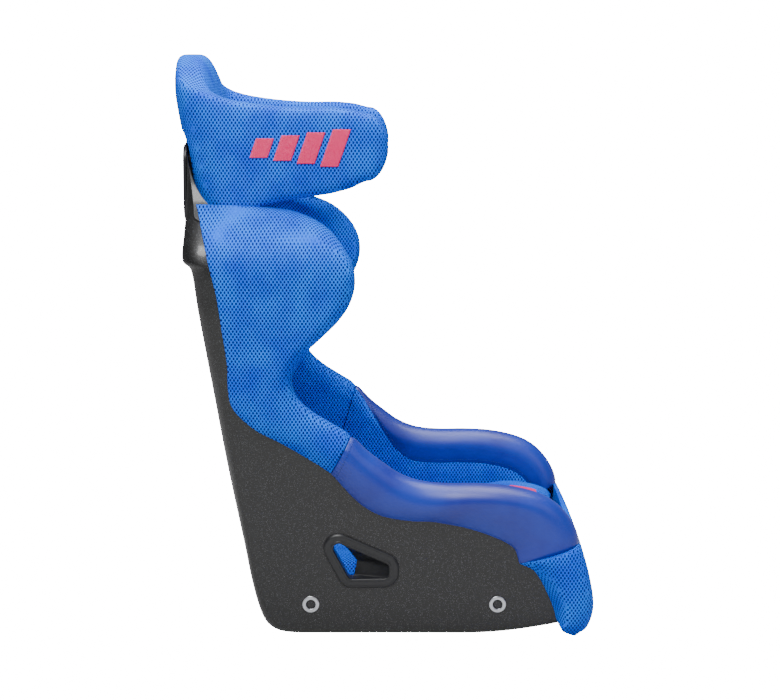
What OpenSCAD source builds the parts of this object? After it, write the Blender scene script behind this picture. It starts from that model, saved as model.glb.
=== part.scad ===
// Fixed-back racing seat: a fibreglass bucket shell with glued foam and cover panels, head-restraint
// wings, harness slots and three lift-off cushions.
// +X is the way the occupant faces, +Y their left, +Z up. The origin is on the floor, under the
// middle of the seat's bounding box. Every side outline is a list of [x, z] points.

/* [Shell] */
// Wall thickness of the fibreglass shell
shell_t = 4; // [3:0.5:5]
// Width of the shell over its two mounting faces
base_w = 410; // [400:2:420]
// Radius of the shell's rear upright corners
back_r = 32; // [26:1:34]
// Radius of the shell's lower side edges
sole_r = 8; // [6:0.5:10]

/* [Side mounts] */
// Distance between the front and rear bolt on each side
bolt_pitch = 290; // [280:1:300]
// Height of the bolts above the floor
bolt_z = 48; // [44:1:54]
// Place of the rear bolt along the seat
bolt_x = -110; // [-115:1:-105]
// Radius of the tapped hole, an M8 thread's tapping size
thread_r = 3.4; // [3.3:0.05:4]
// Radius of the bright flange of an insert
flange_r = 13; // [12:0.5:14]

/* [Upholstery] */
// Thickness of a sewn cover, with its scrim
cover_t = 2; // [1.5:0.25:2.2]
// Glue line between the shell and the foam
gap = 0.5; // [0.3:0.1:0.8]
// Distance from the crest of a bolster down to the shell's edge
edge_cover = 28; // [27:0.5:29]
// Depth of the rounded top of a bolster
roll_depth = 32; // [31.5:0.25:33]
// Thickness of the inner foam where a bolster meets the back or the floor
root_foam = 16; // [14:1:18]

/* [Head restraint] */
// Thickness of a wing
wing_t = 56; // [50:1:60]
// Thickness of the head panel between the wings
head_t = 64; // [60:1:68]
// Distance from the middle plane to the middle of a wing
wing_y = 160; // [156:1:164]
// Place of a wing's tip along the seat
wing_tip_x = 11; // [5:1:15]

/* [Harness slots] */
// Width of a shoulder slot
shoulder_slot_w = 50; // [46:1:52]
// Height of a shoulder slot
shoulder_slot_h = 96; // [90:1:100]
// Distance of a shoulder slot from the middle plane
shoulder_slot_y = 94; // [92:1:96]
// Height of the middle of a shoulder slot
shoulder_slot_z = 695; // [690:1:698]
// Length of the crotch strap slot across the seat
crotch_slot_w = 64; // [56:1:70]
// Width of the crotch strap slot along the seat
crotch_slot_l = 26; // [22:1:30]
// Place of the crotch strap slot along the seat
crotch_slot_x = 130; // [126:1:134]

/* [Hidden] */

mesh_blue = "royalblue";
vinyl_blue = "mediumblue";
shell_black = "#202024";
foam_grey = "#c9c3ae";
trim_black = "#151517";
steel = "silver";

// Outer half-width of the shell at heights 0, 75, 150 ... above the floor.
wall_step = 75;
half_base = base_w / 2;
wall_knots = [half_base, half_base, half_base + 3, 217, 226, 232, 241, 248, 242, 172, 150, 150, 150];

// Stations of the shell: a point on the outer line of its front, floor and back, the point on
// its free edge that it is joined to, and the corner radius there.
shell_base = [
    [298, 120], [299, 95], [299, 65], [296, 36], [283, 19], [240, 10], [190, 3], [140, 0], [60, 0],
    [-20, 0], [-90, 0], [-145, 0], [-172, 7], [-188, 27], [-202, 75], [-214, 140], [-228, 215],
    [-241, 290], [-254, 370], [-266, 445], [-277, 515], [-285, 570], [-298, 586], [-298, 620],
    [-298, 650], [-298, 690], [-299, 762]];
shell_edge = [
    [270, 138], [265, 152], [252, 170], [232, 185], [205, 196], [175, 203], [140, 206], [104, 207],
    [62, 210], [22, 224], [-22, 247], [-58, 277], [-93, 302], [-126, 322], [-152, 340],
    [-168, 366], [-172, 398], [-164, 436], [-138, 470], [-104, 505], [-80, 540], [-76, 568],
    [-88, 590], [-118, 612], [-165, 626], [-262, 690], [-265, 762]];
shell_corner = [25, 25, 22, 16, 11, sole_r, sole_r, sole_r, sole_r, sole_r, sole_r, 12, 20, 28, back_r,
    back_r, back_r, back_r, back_r, back_r, back_r, back_r, back_r, back_r, back_r, 25, 25];

// Stations of a side bolster, from the front of the thigh to the neck: the crest, the lower edge
// of the cover on the outside, and the foot of the padding on the inside.
crest = [
    [306, 146], [300, 168], [285, 193], [262, 215], [232, 229], [190, 238], [145, 241], [100, 241],
    [60, 245], [28, 257], [2, 275], [-22, 294], [-47, 319], [-77, 338], [-105, 356], [-127, 377],
    [-135, 400], [-130, 422], [-114, 447], [-90, 470], [-65, 495], [-47, 522], [-39, 552],
    [-43, 582], [-60, 612], [-88, 638], [-125, 654], [-160, 661], [-190, 665]];
cover_edge = [
    [213, 114], [206, 136], [193, 147], [175, 156], [152, 165], [125, 173], [100, 178], [75, 182],
    [45, 183], [5, 190], [-22, 203], [-45, 223], [-78, 260], [-109, 282], [-150, 307], [-192, 330],
    [-224, 362], [-231, 395], [-231, 425], [-234, 455], [-238, 483], [-241, 508], [-245, 535],
    [-251, 562], [-258, 590], [-265, 618], [-271, 638], [-276, 655], [-280, 667]];
inner_foot = [
    [266, 130], [250, 112], [225, 92], [200, 78], [172, 66], [140, 58], [108, 50], [70, 44],
    [35, 40], [0, 38], [-40, 38], [-80, 40], [-125, 50], [-165, 75], [-177, 120], [-188, 180],
    [-198, 240], [-209, 300], [-218, 355], [-226, 405], [-234, 450], [-239, 490], [-244, 522],
    [-247, 550], [-250, 576], [-255, 600], [-258, 625], [-260, 645], [-262, 658]];
// How far the cover stands outside the shell, and the width of the bolster, at every fourth station.
bulge = [22, 22, 20, 18, 14, 12, 14, 8];
bolster_w = [56, 58, 58, 54, 48, 54, 62, 50];
last_station = len(crest) - 1;
rear_seam = 12;

// The front of the nose, from the seam under the thigh bolster to its hem at the floor, and the
// rear edge of its side flaps on the shell.
nose_front = [[306, 146], [315, 121], [322, 94], [327, 67], [328, 46], [324, 26], [316, 10], [302, 1]];
nose_flap = [[213, 114], [234, 104], [246, 88], [256, 68], [263, 52], [268, 38], [271, 26], [276, 14]];
nose_y = [240, 243, 245, 246, 246, 244, 240, 232];

// The head restraint's upper and lower edge at distances along its middle line, measured from
// the middle plane round the back corner to the tip of a wing: [distance, low z, high z].
halo_corner_r = 47;
halo_back_x = -272;
halo_ref_z = 750;
halo_lean = 0.2;
halo_outline = [
    [0, 630, 891], [50, 630, 889], [100, 632, 874], [126, 670, 858], [160, 670, 838],
    [195, 671, 824], [240, 673, 816], [290, 676, 812], [335, 682, 812], [365, 690, 809],
    [390, 701, 803], [406, 713, 792], [417, 729, 775]];
halo_corner_len = halo_corner_r * PI / 2;
halo_wing_start = wing_y - halo_corner_r + halo_corner_len;
halo_len = halo_wing_start + wing_tip_x - (halo_back_x + halo_corner_r);

// Cushions: [x, z] of the top and the underside along the middle line.
seat_top = [[-148, 84], [-110, 92], [-40, 93], [30, 104], [100, 130], [160, 150], [205, 160], [245, 160], [280, 153], [297, 144]];
seat_under = [[-148, 50], [-110, 46], [-40, 46], [30, 55], [100, 78], [160, 96], [205, 107], [245, 114], [280, 121], [297, 125]];
back_front = [[-236, 604], [-222, 570], [-210, 510], [-196, 430], [-178, 350], [-158, 280], [-140, 210], [-136, 150], [-142, 112]];
back_rear = [[-256, 604], [-252, 570], [-246, 510], [-234, 430], [-221, 350], [-209, 280], [-197, 210], [-186, 150], [-180, 112]];
head_front = [[-245, 818], [-234, 806], [-222, 780], [-209, 740], [-206, 690], [-212, 668]];
head_rear = [[-251, 818], [-248.5, 806], [-243, 780], [-235, 740], [-225, 690], [-220.5, 668]];
seat_half_w = 170;
back_half_w = 150;
head_half_w = 60;
base_half_w = 172;
// The glued foam under the seat cushion: [x, z] of its underside and its top.
base_low = [[-140, 6], [-110, 5], [-40, 5], [30, 5], [100, 5], [160, 6], [205, 10], [245, 16], [272, 23], [288, 60]];
base_high = [[-140, 47], [-110, 43], [-40, 43], [30, 52], [100, 75], [160, 93], [205, 104], [245, 111], [272, 116], [288, 119]];
// Heights of the fixed back padding.
back_heights = [626, 606, 586, 570, 510, 430, 350, 280, 210, 150, 104];
back_foam_t = 19.5;

// ---- curves ----

function clamp_pick(list, i) = list[max(0, min(len(list) - 1, i))];
function cubic(a, b, c, d, t) =
    0.5 * (2 * b + (c - a) * t + (2 * a - 5 * b + 4 * c - d) * t * t + (3 * b - a - 3 * c + d) * t * t * t);
// A smooth curve through a list's values, read at place u, where whole numbers are the values.
function smooth(list, u) =
    let (i = floor(min(max(u, 0), len(list) - 1.00001)), t = u - i)
    cubic(clamp_pick(list, i - 1), clamp_pick(list, i), clamp_pick(list, i + 1), clamp_pick(list, i + 2), t);
function blend(a, b, t) = a + (b - a) * t;
function wall_half(z) = smooth(wall_knots, z / wall_step);
function toward(a, b, distance) = a + (b - a) * distance / norm(b - a);
function steps(n) = [for (i = [0:n]) i / n];

// ---- a closed solid between two grids of points ----

function flat(rows) = [for (row = rows) for (p = row) p];
function grid_faces(rows, cols, first, turned) = [
    for (i = [0:rows - 2]) for (j = [0:cols - 2])
        let (a = first + i * cols + j, b = a + 1, c = a + cols + 1, d = a + cols)
        each (turned ? [[a, b, c], [a, c, d]] : [[a, c, b], [a, d, c]])];
function strip_faces(one, other) = [
    for (k = [0:len(one) - 2]) each [[one[k], other[k + 1], other[k]], [one[k], one[k + 1], other[k + 1]]]];

// Row ends and column ends are closed by strips. The outer grid's rows run so that its faces
// point away from the inner grid.
module slab(outer, inner) {
    rows = len(outer);
    cols = len(outer[0]);
    n = rows * cols;
    start = [for (j = [0:cols - 1]) j];
    end = [for (j = [0:cols - 1]) (rows - 1) * cols + j];
    low = [for (i = [0:rows - 1]) i * cols];
    high = [for (i = [0:rows - 1]) i * cols + cols - 1];
    shift = function (list) [for (k = list) k + n];
    back = function (list) [for (k = [len(list) - 1:-1:0]) list[k]];
    polyhedron(
        points = concat(flat(outer), flat(inner)),
        faces = concat(
            grid_faces(rows, cols, 0, false),
            grid_faces(rows, cols, n, true),
            strip_faces(start, shift(start)),
            strip_faces(back(end), back(shift(end))),
            strip_faces(back(low), back(shift(low))),
            strip_faces(high, shift(high))),
        convexity = 10);
}

// A closed tube: rings of points, one after another, with flat ends.
module tube(rings) {
    rows = len(rings);
    cols = len(rings[0]);
    last = (rows - 1) * cols;
    polyhedron(
        points = flat(rings),
        faces = concat(
            [for (i = [0:rows - 2]) for (j = [0:cols - 1])
                let (k = (j + 1) % cols, a = i * cols + j, b = i * cols + k, c = b + cols, d = a + cols)
                each [[a, b, c], [a, c, d]]],
            [[for (j = [cols - 1:-1:0]) j]],
            [[for (j = [0:cols - 1]) last + j]]),
        convexity = 10);
}

// Holds its children together as one mesh.
module joined() { resize([0, 0, 0]) children(); }
module left_of() { mirror([0, 1, 0]) children(); }
module on_both_sides() { children(); left_of() children(); }

// ---- shell ----

shell_cols = 4;
corner_steps = [0, 30, 60, 90];

function shell_section(u, t, edge_back) =
    let (
        foot = smooth(shell_base, u), edge = smooth(shell_edge, u), r = smooth(shell_corner, u),
        ahead = smooth(shell_base, u + 0.05) - smooth(shell_base, u - 0.05),
        normal = [ahead[1], -ahead[0]] / norm(ahead),
        dir = (edge - foot) / norm(edge - foot),
        lift = t / max(0.35, dir * normal),
        base = foot + dir * lift, reach = norm(edge - foot) - edge_back,
        flat_y = wall_half(base[1]) - r)
    concat(
        [for (k = [0, 0.5]) [base[0], -flat_y * k, base[1]]],
        [for (angle = corner_steps)
            let (p = base + dir * (r - t) * (1 - cos(angle)))
            [p[0], -(blend(flat_y, wall_half(p[1]) - t, sin(angle))), p[1]]],
        [for (k = [1:shell_cols])
            let (p = blend(base + dir * (r - t), foot + dir * reach, k / shell_cols))
            [p[0], -(wall_half(p[1]) - t), p[1]]]);

function shell_rows() = [for (i = [0:len(shell_base) - 1]) i];

module tub(grow = 0) {
    on_both_sides() slab(
        [for (u = shell_rows()) shell_section(u, -grow, -grow)],
        [for (u = shell_rows()) shell_section(u, shell_t + grow, -grow)]);
}

// Middle line of the head restraint seen from above: [x, y, outward x, outward y] at a distance.
function halo_path(s) =
    let (flat_len = wing_y - halo_corner_r)
    s < flat_len ? [halo_back_x, -s, -1, 0]
    : s < halo_wing_start ?
        let (a = (s - flat_len) / halo_corner_r * 180 / PI)
        [halo_back_x + halo_corner_r * (1 - cos(a)), -flat_len - halo_corner_r * sin(a), -cos(a), -sin(a)]
    : [halo_back_x + halo_corner_r + s - halo_wing_start, -wing_y, 0, -1];
function halo_z(s, column) =
    let (k = len([for (row = halo_outline) if (row[0] <= s) 1]) - 1)
    k >= len(halo_outline) - 1 ? blend(halo_outline[k][column], 751, min(1, (s - halo_outline[k][0]) / (halo_len - halo_outline[k][0])))
    : smooth([for (row = halo_outline) row[column]], k + (s - halo_outline[k][0]) / (halo_outline[k + 1][0] - halo_outline[k][0]));
// The back leans, and the lean fades out along the wings.
function halo_shear(s) = halo_lean * (s < halo_wing_start ? 1 : max(0, 1 - (s - halo_wing_start) / 150));
function halo_point(s, z, outward) =
    let (p = halo_path(s))
    [p[0] + p[2] * outward - halo_shear(s) * (z - halo_ref_z), p[1] + p[3] * outward, z];
function halo_thick(s) = blend(head_t, wing_t, min(1, s / halo_wing_start));

sheet_depth = 10;
halo_places = [0, 40, 75, 100, 113, 134, 151, 168, 187, 225, 270, 320, 360, 388];
function mirror_points(row) = [for (p = row) [p[0], -p[1], p[2]]];

// The shell's head sheet runs inside the restraint, near its outer face.
module head_sheet(grow = 0) {
    layer = function (out) [
        for (s = halo_places)
            let (low = s < 113 ? 720 : halo_z(s, 1) + edge_cover, high = halo_z(s, 2) - edge_cover,
                stop = min(s, 386) + (s > 386 ? grow : 0))
            [for (k = steps(3)) halo_point(stop, blend(high + grow, low - grow, k), halo_thick(s) / 2 - sheet_depth + out)]];
    right_outer = layer(grow);
    right_inner = layer(-shell_t - grow);
    n = len(right_outer) - 1;
    slab(
        concat([for (i = [n:-1:1]) mirror_points(right_outer[i])], right_outer),
        concat([for (i = [n:-1:1]) mirror_points(right_inner[i])], right_inner));
}

// Closes the space between the harness panel and the head sheet.
module head_web(grow = 0) {
    translate([-298 - grow, -125 - grow, 748 - grow]) cube([14 + 2 * grow, 250 + 2 * grow, 6 + 2 * grow]);
}

module shell_solid(grow = 0) {
    tub(grow);
    head_sheet(grow);
    head_web(grow);
}

// ---- harness slots ----

lap_corners = [[-66, 138], [3, 107], [3, 99], [-45, 98]];
lap_opening_r = 8;
module lap_outline(r) { hull() for (p = lap_corners) translate(p) circle(r = r, $fn = 16); }
module lap_prism(r, from_y, to_y) {
    translate([0, -from_y, 0]) rotate([90, 0, 0]) linear_extrude(to_y - from_y) lap_outline(r);
}
module slot_outline(w, h, r) {
    hull() for (x = [-1, 1]) for (y = [-1, 1]) translate([x * (w / 2 - r), y * (h / 2 - r)]) circle(r = r, $fn = 16);
}
module shoulder_prism(from_x, to_x, extra = 0) {
    translate([from_x, -shoulder_slot_y, shoulder_slot_z]) rotate([90, 0, 90])
        linear_extrude(to_x - from_x) slot_outline(shoulder_slot_w + 2 * extra, shoulder_slot_h + 2 * extra, 14 + extra);
}
module crotch_prism(from_z, to_z, extra = 0) {
    translate([crotch_slot_x, 0, from_z])
        linear_extrude(to_z - from_z) slot_outline(crotch_slot_l + 2 * extra, crotch_slot_w + 2 * extra, 8 + extra);
}
module bolt_places() {
    for (x = [bolt_x, bolt_x + bolt_pitch]) translate([x, 0, bolt_z]) children();
}

insert_r = 8;
plate_size = [60, 36, 4];
plate_y = half_base - shell_t - 0.2;
liner_t = 3;
fit = 0.5;

module shell() {
    color(shell_black) joined() difference() {
        shell_solid();
        on_both_sides() {
            lap_prism(lap_opening_r + 2, 150, 260);
            shoulder_prism(-320, -240, liner_t + fit);
            bolt_places() translate([0, -190, 0]) rotate([90, 0, 0]) cylinder(r = insert_r + 0.2, h = 30, $fn = 24);
        }
        crotch_prism(-10, 20, 2 + fit);
    }
}

// ---- mounting hardware ----

module mount_insert() {
    rotate([90, 0, 0]) difference() {
        union() {
            translate([0, 0, 0.1]) cylinder(r = flange_r, h = 1.4);
            translate([0, 0, -shell_t - plate_size[2] - 0.4]) cylinder(r = insert_r, h = shell_t + plate_size[2] + 1.2);
        }
        translate([0, 0, -30]) cylinder(r = thread_r, h = 60);
    }
}
module mount_inserts() {
    color(steel) on_both_sides() bolt_places() translate([0, -half_base, 0]) mount_insert();
}
module plate_block(grow = 0) {
    translate([-plate_size[0] / 2 - grow, -plate_y - grow, -plate_size[1] / 2 - grow])
        cube([plate_size[0] + 2 * grow, plate_size[2] + 2 * grow, plate_size[1] + 2 * grow]);
}
module mount_plates() {
    color(steel) on_both_sides() bolt_places() difference() {
        plate_block();
        translate([0, -150, 0]) rotate([90, 0, 0]) cylinder(r = insert_r + 0.1, h = 80);
    }
}

// ---- slot bezels ----

bezel_t = 6;
shell_back_x = -299;

// A band of plastic that follows the shell's side wall, between two distances outside it.
module wall_band(from, to) {
    heights = [for (z = [60:20:180]) z];
    translate([-140, 0, 0]) rotate([90, 0, 90]) linear_extrude(240) polygon(concat(
        [for (z = heights) [-(wall_half(z) + from), z]],
        [for (i = [len(heights) - 1:-1:0]) [-(wall_half(heights[i]) + to), heights[i]]]));
}
module lap_bezel() {
    color(trim_black) joined() difference() {
        union() {
            difference() {
                union() {
                    intersection() {
                        lap_prism(24, 190, 230);
                        wall_band(-1, 3);
                    }
                    intersection() {
                        lap_prism(21, 190, 230);
                        wall_band(-1, 4.5);
                    }
                }
                tub(0.1);
            }
            intersection() {
                lap_prism(lap_opening_r + 1.8, 170, 230);
                wall_band(-17, 4.5);
            }
        }
        lap_prism(lap_opening_r, 150, 260);
    }
}
module shoulder_bezel_rear() {
    color(trim_black) joined() difference() {
        union() {
            shoulder_prism(shell_back_x - 4, shell_back_x - 0.3, 13);
            shoulder_prism(shell_back_x - bezel_t, shell_back_x - 0.3, 11);
        }
        shoulder_prism(-330, -240);
    }
}
bezel_rim = 7;
// The front bezel's flange leans with the head panel; its sleeve lines the way through the foam.
head_face_x = halo_back_x + head_t / 2;
module leaned() {
    multmatrix([[1, 0, -halo_lean, halo_lean * halo_ref_z], [0, 1, 0, 0], [0, 0, 1, 0]]) children();
}
module shoulder_bezel_front() {
    color(trim_black) joined() difference() {
        union() {
            leaned() shoulder_prism(head_face_x + 0.3, head_face_x + 2.5, bezel_rim);
            leaned() shoulder_prism(head_face_x - 24, head_face_x + 2.5, liner_t);
            shoulder_prism(shell_back_x + 1, head_face_x, liner_t);
        }
        shoulder_prism(-330, -200);
    }
}
module crotch_bezel() {
    color(trim_black) difference() {
        union() {
            crotch_prism(shell_t + 1.2, shell_t + 3.2, 12);
            crotch_prism(0.5, shell_t + 3.2, 2);
        }
        crotch_prism(-10, 30);
    }
}

// ---- side bolsters ----

outer_steps = 3;
roll_angles = [60, 30, 0, 30, 60, 90];
inner_steps = 3;
function station_value(list, u) = smooth(list, u / 4);

// Each point is [cover point, shell point]: the padding's surface, and the glued side under it.
function bolster_section(u, inner_from, inner_to) =
    let (
        top = smooth(crest, u), out = smooth(cover_edge, u), foot = smooth(inner_foot, u),
        stand = station_value(bulge, u), w = station_value(bolster_w, u), a = w / 2,
        start = toward(top, out, roll_depth), widest = wall_half(start[1]) + stand, mid = widest - a,
        root = wall_half(foot[1]) - shell_t - root_foam)
    [for (k = steps(outer_steps))
        let (p = blend(out, start, k))
        [[p[0], -(wall_half(p[1]) + gap + cover_t + (stand - gap - cover_t) * sin(90 * k)), p[1]],
            [p[0], -(wall_half(p[1]) + gap), p[1]]]];
function roll_section(u) =
    let (
        top = smooth(crest, u), out = smooth(cover_edge, u), foot = smooth(inner_foot, u),
        stand = station_value(bulge, u), a = station_value(bolster_w, u) / 2,
        start = toward(top, out, roll_depth), mid = wall_half(start[1]) + stand - a)
    [for (i = [0:len(roll_angles) - 1])
        let (
            outside = i < 2, angle = roll_angles[i], side = outside ? 1 : -1,
            p = toward(top, outside ? out : foot, max(0.001, roll_depth * (1 - cos(angle)))),
            q = toward(top, outside ? out : foot, edge_cover + 3 * (1 - cos(angle))))
        [[p[0], -(mid + side * a * sin(angle)), p[1]],
            [q[0], -(wall_half(q[1]) - shell_t / 2 + side * (shell_t / 2 + gap) * sin(angle)), q[1]]]];
function inner_wall(u, from_d, to_d) =
    let (
        top = smooth(crest, u), out = smooth(cover_edge, u), foot = smooth(inner_foot, u),
        start = toward(top, out, roll_depth),
        near_y = wall_half(start[1]) + station_value(bulge, u) - station_value(bolster_w, u),
        root_y = wall_half(foot[1]) - shell_t - root_foam, all = norm(foot - top))
    [for (k = steps(inner_steps))
        let (d = blend(from_d, to_d, k), p = toward(top, foot, d), t = (d - roll_depth) / (all - roll_depth))
        [[p[0], -blend(near_y, root_y, t), p[1]], [p[0], -(wall_half(p[1]) - shell_t - gap), p[1]]]];
function without_first(list) = [for (i = [1:len(list) - 1]) list[i]];
function foot_distance(u) = norm(smooth(inner_foot, u) - smooth(crest, u));
function seam_distance(u) = min(foot_distance(u) - 6, roll_depth + 24);

function bolster_pairs(u, to_d) =
    concat(bolster_section(u), roll_section(u), without_first(inner_wall(u, roll_depth, to_d)));
// Layers under the cover: depth 0 is its outer face, and the shell side is the deepest.
function at_depth(pair, depth) = toward(pair[0], pair[1], min(depth, norm(pair[1] - pair[0])));

module cover_strip(rows) {
    slab([for (row = rows) [for (pair = row) pair[0]]], [for (row = rows) [for (pair = row) at_depth(pair, cover_t)]]);
}
module foam_strip(rows) {
    slab(
        [for (row = rows) [for (i = [1:len(row) - 1]) at_depth(row[i], cover_t + foam_slack)]],
        [for (row = rows) [for (i = [1:len(row) - 1]) row[i][1]]]);
}
foam_slack = 1;
function stations(from, to, step) = [for (u = [from:step:to]) u];

seam_slack = 0.03;
thigh_rows = concat(stations(0, rear_seam - 1, 1), [rear_seam - seam_slack]);
torso_rows = stations(rear_seam, last_station, 1);

module plate_space() {
    bolt_places() plate_block(fit);
    bolt_places() translate([0, -170, 0]) rotate([90, 0, 0]) cylinder(r = insert_r + fit, h = 60, $fn = 24);
}
module torso_cover() {
    color(mesh_blue) joined() difference() {
        cover_strip([for (u = torso_rows) bolster_pairs(u, foot_distance(u))]);
        tub(0.1);
    }
}
module torso_foam() {
    color(foam_grey) joined() difference() {
        foam_strip([for (u = torso_rows) bolster_pairs(u, foot_distance(u))]);
        tub(0.1);
        plate_space();
    }
}
module thigh_cover() {
    color(vinyl_blue) joined() cover_strip([for (u = thigh_rows) bolster_pairs(u, seam_distance(u))]);
}
module thigh_foam() {
    color(foam_grey) joined() difference() {
        foam_strip([for (u = thigh_rows) let (v = min(u, rear_seam - 4 * seam_slack)) bolster_pairs(v, foot_distance(v))]);
        lap_prism(lap_opening_r + 2, 150, 260);
        plate_space();
    }
}
module hip_panel() {
    color(mesh_blue) joined() difference() {
        cover_strip([for (u = thigh_rows) inner_wall(u, seam_distance(u) + 0.3, foot_distance(u))]);
        lap_prism(lap_opening_r + 2, 150, 260);
    }
}

// ---- nose ----

nose_columns = 4;
nose_corner = 34;
shell_front_x = 299;
// From the flap's rear edge on the shell, forward, round the corner and across to the middle.
function nose_pairs(u) =
    let (
        front = smooth(nose_front, u), rear = smooth(nose_flap, u), side = smooth(nose_y, u),
        corner = min(nose_corner, front[0] - rear[0] - 4),
        from_y = wall_half(rear[1]) + gap + cover_t, bend = [front[0] - corner, side - corner])
    concat(
        [for (k = steps(nose_columns))
            let (x = blend(rear[0], bend[0], k), z = blend(rear[1], front[1], (x - rear[0]) / (front[0] - rear[0])))
            [[x, -blend(from_y, side, sin(90 * k)), z], [x, -(wall_half(z) + gap), z]]],
        [for (a = [22.5, 45, 67.5])
            let (x = bend[0] + corner * sin(a), z = blend(rear[1], front[1], (x - rear[0]) / (front[0] - rear[0])))
            [[x, -(bend[1] + corner * cos(a)), z],
                [blend(bend[0], shell_front_x + gap, sin(a)), -(wall_half(z) + gap), z]]],
        [for (k = [1, 0.5, 0])
            [[front[0] + 3 * (1 - k * k), -bend[1] * k, front[1]],
                [shell_front_x + gap, -bend[1] * k, front[1]]]]);
function both_halves(pairs) =
    concat(pairs, [for (i = [len(pairs) - 2:-1:0]) [for (p = pairs[i]) [p[0], -p[1], p[2]]]]);
nose_rows = concat(stations(len(nose_front) - 1, 1, -1), [seam_slack]);

module nose_cover() {
    color(mesh_blue) joined() slab(
        [for (u = nose_rows) [for (pair = both_halves(nose_pairs(u))) pair[0]]],
        [for (u = nose_rows) [for (pair = both_halves(nose_pairs(u))) at_depth(pair, cover_t)]]);
}

module nose_foam() {
    rows = [for (u = nose_rows) let (row = both_halves(nose_pairs(max(0.86 * u, 6 * seam_slack))))
        [for (i = [1:len(row) - 2]) row[i]]];
    color(foam_grey) joined() slab(
        [for (row = rows) [for (pair = row) at_depth(pair, cover_t + 1.5)]],
        [for (row = rows) [for (pair = row) pair[1]]]);
}

// ---- head restraint ----

halo_tip = 26;
halo_stations = [0, 60, 100, 118, 134, 151, 168, 187, 225, 270, 320, 360, 388, 403, 413, 420];
function halo_ring(s, inset, side) =
    let (
        low = halo_z(s, 1) + inset, high = halo_z(s, 2) - inset,
        tip = max(0, (s - halo_len + halo_tip) / halo_tip),
        h = halo_thick(s) / 2 * sqrt(1 - tip * tip) - inset,
        r = max(0.6, min(22 - inset, 0.9 * h, 0.45 * (high - low))))
    [for (corner = [[1, 1, 0], [-1, 1, 90], [-1, -1, 180], [1, -1, 270]]) for (a = [0, 45, 90])
        let (
            out = corner[0] * (h - r) + r * cos(corner[2] + a),
            z = (corner[1] > 0 ? high - r : low + r) + r * sin(corner[2] + a),
            p = halo_point(s, z, out))
        [p[0], side * p[1], p[2]]];
module halo_block(inset) {
    last = len(halo_stations) - 1;
    tube(concat(
        [for (i = [last:-1:1]) halo_ring(halo_stations[i] - (i == last ? inset * 0.9 : 0), inset, -1)],
        [for (i = [0:last]) halo_ring(halo_stations[i] - (i == last ? inset * 0.9 : 0), inset, 1)]));
}
module halo_cuts() {
    shell_solid(gap);
    translate([-400, -151, 560]) cube([400 + shell_back_x + shell_t + gap, 302, 203]);
    on_both_sides() {
        shoulder_prism(-340, -180, liner_t + fit);
        leaned() shoulder_prism(head_face_x + 0.1, head_face_x + 14, bezel_rim + fit);
    }
}
module halo_cover() {
    color(mesh_blue) joined() difference() {
        halo_block(0);
        halo_block(cover_t);
        halo_cuts();
    }
}
module halo_foam() {
    color(foam_grey) joined() difference() {
        halo_block(cover_t + 0.15);
        halo_cuts();
    }
}

// ---- pads between a front line and a rear line ----

// One ring: from point a to point b across the thickness, rounded by ra beside a and rb beside b.
function pad_ring(a, b, half, ra, rb, inset) =
    let (dir = (b - a) / norm(b - a), thick = norm(b - a) - 2 * inset, w = half - inset, from = a + dir * inset)
    [for (corner = [[-1, 0], [1, 0], [1, 1], [-1, 1]]) for (k = [0:3])
        let (
            r = min(max(0.4, (corner[1] == 0 ? ra : rb) - inset), 0.49 * thick),
            angle = (corner[1] == 0 ? (corner[0] < 0 ? 0 : 90) : (corner[0] > 0 ? 180 : 270)) + k * 30,
            across = corner[0] * (w - r) - r * cos(angle) * (1),
            depth = corner[1] == 0 ? r - r * sin(angle) : thick - r - r * sin(angle),
            p = from + dir * depth)
        [p[0], across, p[1]]];
function pulled_in(list, inset) =
    let (n = len(list) - 1)
    [for (i = [0:n]) i == 0 ? toward(list[0], list[1], inset + 0.001) : i == n ? toward(list[n], list[n - 1], inset + 0.001) : list[i]];
module pad(front, rear, half, ra, rb, inset = 0) {
    a = inset > 0 ? pulled_in(front, inset) : front;
    b = inset > 0 ? pulled_in(rear, inset) : rear;
    tube([for (i = [0:len(a) - 1]) pad_ring(a[i], b[i], half[i], ra, rb, inset)]);
}
function same_width(w, list) = [for (p = list) w];

back_table = [for (p = shell_base) if (p[1] >= 75 && p[0] < 0) [p[1], p[0]]];
function back_x(z, ahead) = lookup(z, back_table) + shell_t + ahead;
function back_points(ahead) = [for (z = back_heights) [back_x(z, ahead), z]];
back_pad_half = [for (z = back_heights) wall_half(z) - shell_t - root_foam - 3];

module base_foam() {
    color(foam_grey) joined() difference() {
        pad(base_high, base_low, same_width(base_half_w, base_low), 6, 6);
        crotch_prism(0, 200, 13);
    }
}
module back_foam() {
    color(foam_grey) joined() pad(back_points(0.8 + back_foam_t), back_points(0.8), back_pad_half, 2, 9);
}
module back_panel() {
    color(mesh_blue) joined()
        pad(back_points(3 + back_foam_t), back_points(1 + back_foam_t), back_pad_half, 0.8, 0.8);
}

// ---- lift-off cushions ----

module cushion_cover(front, rear, half, ra, rb) {
    difference() {
        pad(front, rear, same_width(half, front), ra, rb);
        pad(front, rear, same_width(half, front), ra, rb, cover_t);
    }
}
module seat_cushion_cover() {
    color(mesh_blue) joined() difference() {
        cushion_cover(seat_top, seat_under, seat_half_w, 16, 6);
        crotch_prism(0, 220, 0);
    }
}
module seat_cushion_foam() {
    color(foam_grey) joined() difference() {
        pad(seat_top, seat_under, same_width(seat_half_w, seat_top), 16, 6, cover_t + 0.15);
        crotch_prism(0, 220, 2);
    }
}
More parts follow.
